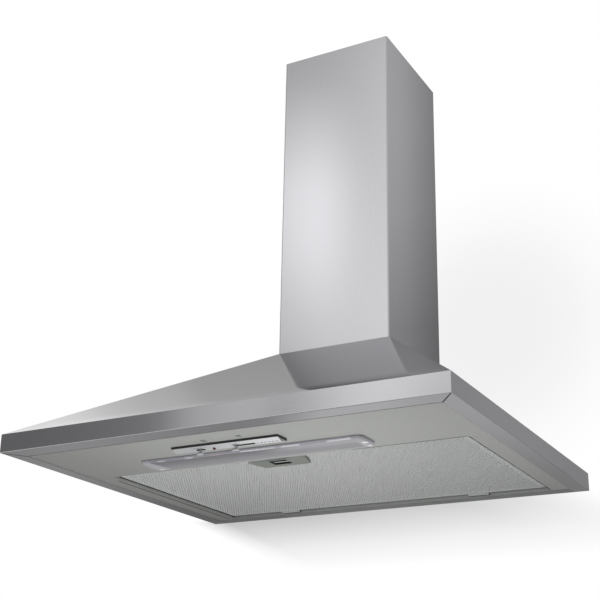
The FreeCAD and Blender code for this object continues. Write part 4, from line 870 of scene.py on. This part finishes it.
# A pale wall that glows for the steel to mirror, with painted shade darker near the hood, of which the
# camera sees only a painted soft shadow
WALL_HALF = 3.0
WALL_PLACE = 0.012
WALL_LEVEL = 1.25
WALL_ABOVE = (
    (-1.50, 1.00),
    (-0.75, 0.90),
    (-0.67, 0.82),
    (-0.60, 0.67),
    (-0.53, 0.58),
    (-0.45, 0.53),
    (-0.39, 0.44),
    (-0.20, 0.42),
    (0.00, 0.20),
    (0.09, 0.24),
    (0.12, 0.31),
    (0.145, 0.375),
    (0.17, 0.405),
    (0.31, 0.41),
    (0.38, 0.46),
    (0.44, 0.465),
    (0.49, 0.44),
    (1.50, 0.46),
)
WALL_BELOW = (
    (-0.73, 0.26),
    (-0.64, 0.29),
    (-0.55, 0.29),
    (-0.29, 0.24),
    (-0.22, 0.26),
    (-0.12, 0.47),
    (-0.02, 0.475),
    (0.07, 0.40),
    (0.60, 0.38),
)
WALL_HEIGHT = (
    (0.00, 0.62),
    (0.20, 0.62),
    (0.28, 0.65),
    (0.34, 0.75),
    (0.48, 0.95),
    (0.63, 1.04),
    (1.00, 1.00),
)
BELOW_FADE = (-0.15, 0.0)
BELOW_LEVELS = (1.0, 0.55)
WALL_TURN = (-0.01, 0.01)
WALL_DIP = ((-0.06, 1.0), (-0.03, 0.5), (0.015, 0.5), (0.04, 1.0))
DIP_SIDE = (0.32, 0.36)
SHADE_SIDES = (
    (-0.336, 0.0),
    (-0.278, 0.45),
    (-0.148, 0.43),
    (-0.012, 0.38),
    (0.117, 0.36),
    (0.209, 0.24),
    (0.255, 0.13),
    (0.305, 0.0),
)
SHADE_DROP = ((-0.082, 0.0), (-0.045, 0.33), (0.0, 1.0), (0.006, 1.0), (0.012, 0.0))
SHADE_LEAN = 2.1
BESIDE_PLACE = (0.166, WALL_PLACE, 0.26)
BESIDE_REACH = (0.06, 0.26)
BESIDE_SHADE = 0.12
wall_glow, wall_tree, wall_shader = blank("wall_glow")
wall_place = place_in(wall_tree)
wall_parts = split(wall_tree, wall_place)
glow_above = product(
    wall_tree,
    profile(wall_tree, wall_parts["X"], WALL_ABOVE),
    profile(wall_tree, wall_parts["Z"], WALL_HEIGHT),
)
glow_below = product(
    wall_tree,
    profile(wall_tree, wall_parts["X"], WALL_BELOW),
    span(wall_tree, wall_parts["Z"], *BELOW_FADE, *BELOW_LEVELS),
)
dip = mixed(
    wall_tree,
    span(wall_tree, wall_parts["X"], *DIP_SIDE),
    FULL_WHITE,
    profile(wall_tree, wall_parts["Z"], WALL_DIP),
)
wall_level = product(
    wall_tree,
    mixed(wall_tree, span(wall_tree, wall_parts["Z"], *WALL_TURN), glow_below, glow_above),
    dip,
)
wall_shader.inputs["Base Color"].default_value = (0, 0, 0, 1)
wall_shader.inputs["Specular IOR Level"].default_value = 0.0
wall_shader.inputs["Emission Strength"].default_value = WALL_LEVEL
wall_tree.links.new(wall_level, wall_shader.inputs["Emission Color"])
leaned_x = combine(wall_tree, "ADD", wall_parts["X"], product(wall_tree, wall_parts["Z"], SHADE_LEAN))
under = product(
    wall_tree,
    profile(wall_tree, leaned_x, SHADE_SIDES),
    profile(wall_tree, wall_parts["Z"], SHADE_DROP),
)
beside = span(
    wall_tree,
    distance(wall_tree, wall_place, BESIDE_PLACE),
    *BESIDE_REACH,
    BESIDE_SHADE,
    0.0,
)
from_front = combine(wall_tree, "SUBTRACT", 1.0, from_behind(wall_tree))
shadow = product(wall_tree, combine(wall_tree, "ADD", under, beside), from_front)
wall_tint = combine(wall_tree, "SUBTRACT", 1.0, shadow)
seen_through(wall_tree, wall_shader, shown_to(wall_tree, "Camera"), wall_tint)
wall_corners = [(x * WALL_HALF, WALL_PLACE, z * WALL_HALF) for x, z in SQUARE]
wall = mesh_object("wall", wall_corners, [(0, 1, 2, 3)], wall_glow)
for ray in ("diffuse", "transmission", "volume_scatter", "shadow"):
    setattr(wall, "visible_" + ray, False)

# A soft lamp low in front that lights the underside
CARD_PLACE = Vector((0.06, -0.42, -0.42))
CARD_AIM = Vector((0.06, -0.40, 0.0))
CARD_WIDTH = 0.3
CARD_DEPTH = 0.2
CARD_ENERGY = 1.1
card_data = bpy.data.lights.new("card", "AREA")
card_data.shape = "RECTANGLE"
card_data.size = CARD_WIDTH
card_data.size_y = CARD_DEPTH
card_data.energy = CARD_ENERGY
card = placed("card", card_data)
card.rotation_euler = (CARD_AIM - CARD_PLACE).to_track_quat("-Z", "Y").to_euler()
card.location = CARD_PLACE
card.visible_camera = False
card.visible_glossy = False


# Studio light: a sky with a panel to the front left and soft lights to the right, behind and overhead
def heading(azimuth, elevation):
    """Return a direction from degrees left of the front and degrees up."""
    left = math.radians(azimuth)
    up = math.radians(elevation)
    return Vector((-math.sin(left) * math.cos(up), -math.cos(left) * math.cos(up), math.sin(up)))


def lobe(tree, direction, way, inner, outer, level):
    """Return a soft round light about a direction, with its inner and outer half angles in degrees."""
    edges = [math.cos(math.radians(angle)) for angle in (outer, inner)]
    return span(tree, along(tree, direction, way), *edges, 0.0, level)


LOBES = (
    (heading(150, 30), 10, 75, 0.15),
    (heading(-150, 40), 5, 50, 0.18),
    (heading(-60, 20), 15, 40, 0.6),
    (heading(0, 90), 15, 45, 0.2),
)
SKY_BASE = 0.16
PANEL_SIDES = (
    (0, 0.0),
    (12, 0.9),
    (20, 1.0),
    (24.5, 1.0),
    (26, 0.92),
    (28, 0.77),
    (30, 0.62),
    (31, 0.60),
    (33, 0.52),
    (34.3, 0.45),
    (35.8, 0.12),
    (38, 0.03),
    (42, 0.0),
)
BAND_SIDES = (
    (0, 0.0),
    (12, 0.8),
    (21.8, 0.75),
    (23.4, 0.96),
    (24.5, 1.05),
    (26.2, 0.98),
    (27.9, 0.72),
    (29.6, 0.44),
    (31.2, 0.65),
    (32.8, 0.60),
    (34.3, 0.52),
    (35.8, 0.10),
    (38, 0.06),
    (42, 0.0),
)
BAND_TOP = (17.7, 19.3)
LEAN_LOW = 17
LEAN_HIGH = 42
PANEL_LEAN = 0.15
PANEL_HEIGHTS = (
    (-12, 0.0),
    (-2, 0.50),
    (5, 0.62),
    (12, 0.68),
    (17, 0.71),
    (20.5, 0.81),
    (24, 0.77),
    (27, 0.73),
    (30, 0.70),
    (33, 0.70),
    (38, 0.45),
    (50, 0.30),
    (65, 0.0),
)
GLOW_LEVEL = 0.62
GLOW_SIDES = ((24, 0.0), (26, 0.15), (27, 0.6), (28, 1.0), (29, 0.9), (30.5, 0.68), (32, 0.3), (33, 0.0))
GLOW_HEIGHTS = ((17, 0.0), (20.5, 0.28), (23.7, 0.85), (25.5, 1.0), (27, 1.0), (29.6, 0.5), (32, 0.0))
TO_DEGREES = 180 / math.pi
world = bpy.data.worlds.new("studio")
SCENE.world = world
world.use_nodes = True
sky = world.node_tree
direction = node(sky, "ShaderNodeTexCoord").outputs["Generated"]
sky_parts = split(sky, direction)
around = product(sky, combine(sky, "ARCTAN2", sky_parts["X"], sky_parts["Y"]), TO_DEGREES)
left_of_front = combine(sky, "ADD", around, 180.0)
height = product(sky, combine(sky, "ARCSINE", sky_parts["Z"]), TO_DEGREES)
lean = span(sky, height, LEAN_LOW, LEAN_HIGH, 0.0, (LEAN_HIGH - LEAN_LOW) * PANEL_LEAN, "LINEAR")
panel_sides = mixed(
    sky,
    span(sky, height, *BAND_TOP),
    profile(sky, left_of_front, BAND_SIDES),
    profile(sky, combine(sky, "ADD", left_of_front, lean), PANEL_SIDES),
)
panel = product(sky, panel_sides, profile(sky, height, PANEL_HEIGHTS))
glow = product(
    sky,
    profile(sky, left_of_front, GLOW_SIDES),
    profile(sky, height, GLOW_HEIGHTS),
    GLOW_LEVEL,
)
light = combine(sky, "ADD", combine(sky, "ADD", panel, glow), SKY_BASE)
for way, inner_angle, outer_angle, level in LOBES:
    light = combine(sky, "ADD", light, lobe(sky, direction, way, inner_angle, outer_angle, level))

# White backdrop, and pale surroundings that metal and glass show away from the front left
PALE_SIDES = ((0, 1.0), (10, 0.3), (14, 0.0), (46, 0.0), (62, 1.0), (360, 1.0))
PALE_LEVEL = 0.6
pale_share = product(
    sky,
    profile(sky, left_of_front, PALE_SIDES),
    shown_to(sky, "Glossy", "Transmission"),
)
light = mixed(sky, pale_share, light, (PALE_LEVEL, PALE_LEVEL, PALE_LEVEL, 1.0))
sky.links.new(
    mixed(sky, shown_to(sky, "Camera"), light, FULL_WHITE),
    sky.nodes["Background"].inputs["Color"],
)

# Camera, from its angles, distance, aim and focus in parts of the picture's width
AZIMUTH = math.radians(28.939)
ELEVATION = math.radians(-20.540)
ROLL = math.radians(1.100)
DISTANCE = 1.6420
AIM = Vector((-0.01545, -0.250, 0.21469))
PICTURE = 600
FOCUS = 1199.90 / PICTURE
SHIFT = 20 / PICTURE
SENSOR = 36
NEAREST = 0.05
FARTHEST = 100
back = Vector(
    (
        math.sin(AZIMUTH) * math.cos(ELEVATION),
        -math.cos(AZIMUTH) * math.cos(ELEVATION),
        math.sin(ELEVATION),
    )
)
right = Vector((0, 0, 1)).cross(back).normalized()
upward = back.cross(right)
turned_right = math.cos(ROLL) * right + math.sin(ROLL) * upward
turned_upward = math.cos(ROLL) * upward - math.sin(ROLL) * right
camera_data = bpy.data.cameras.new("camera")
camera_data.sensor_width = SENSOR
camera_data.lens = SENSOR * FOCUS
camera_data.shift_y = SHIFT
camera_data.clip_start = NEAREST
camera_data.clip_end = FARTHEST
camera = placed("camera", camera_data)
turn = Matrix((turned_right, turned_upward, back)).transposed().to_4x4()
camera.matrix_world = Matrix.Translation(AIM + back * DISTANCE) @ turn
SCENE.camera = camera
SCENE.view_settings.view_transform = "Standard"
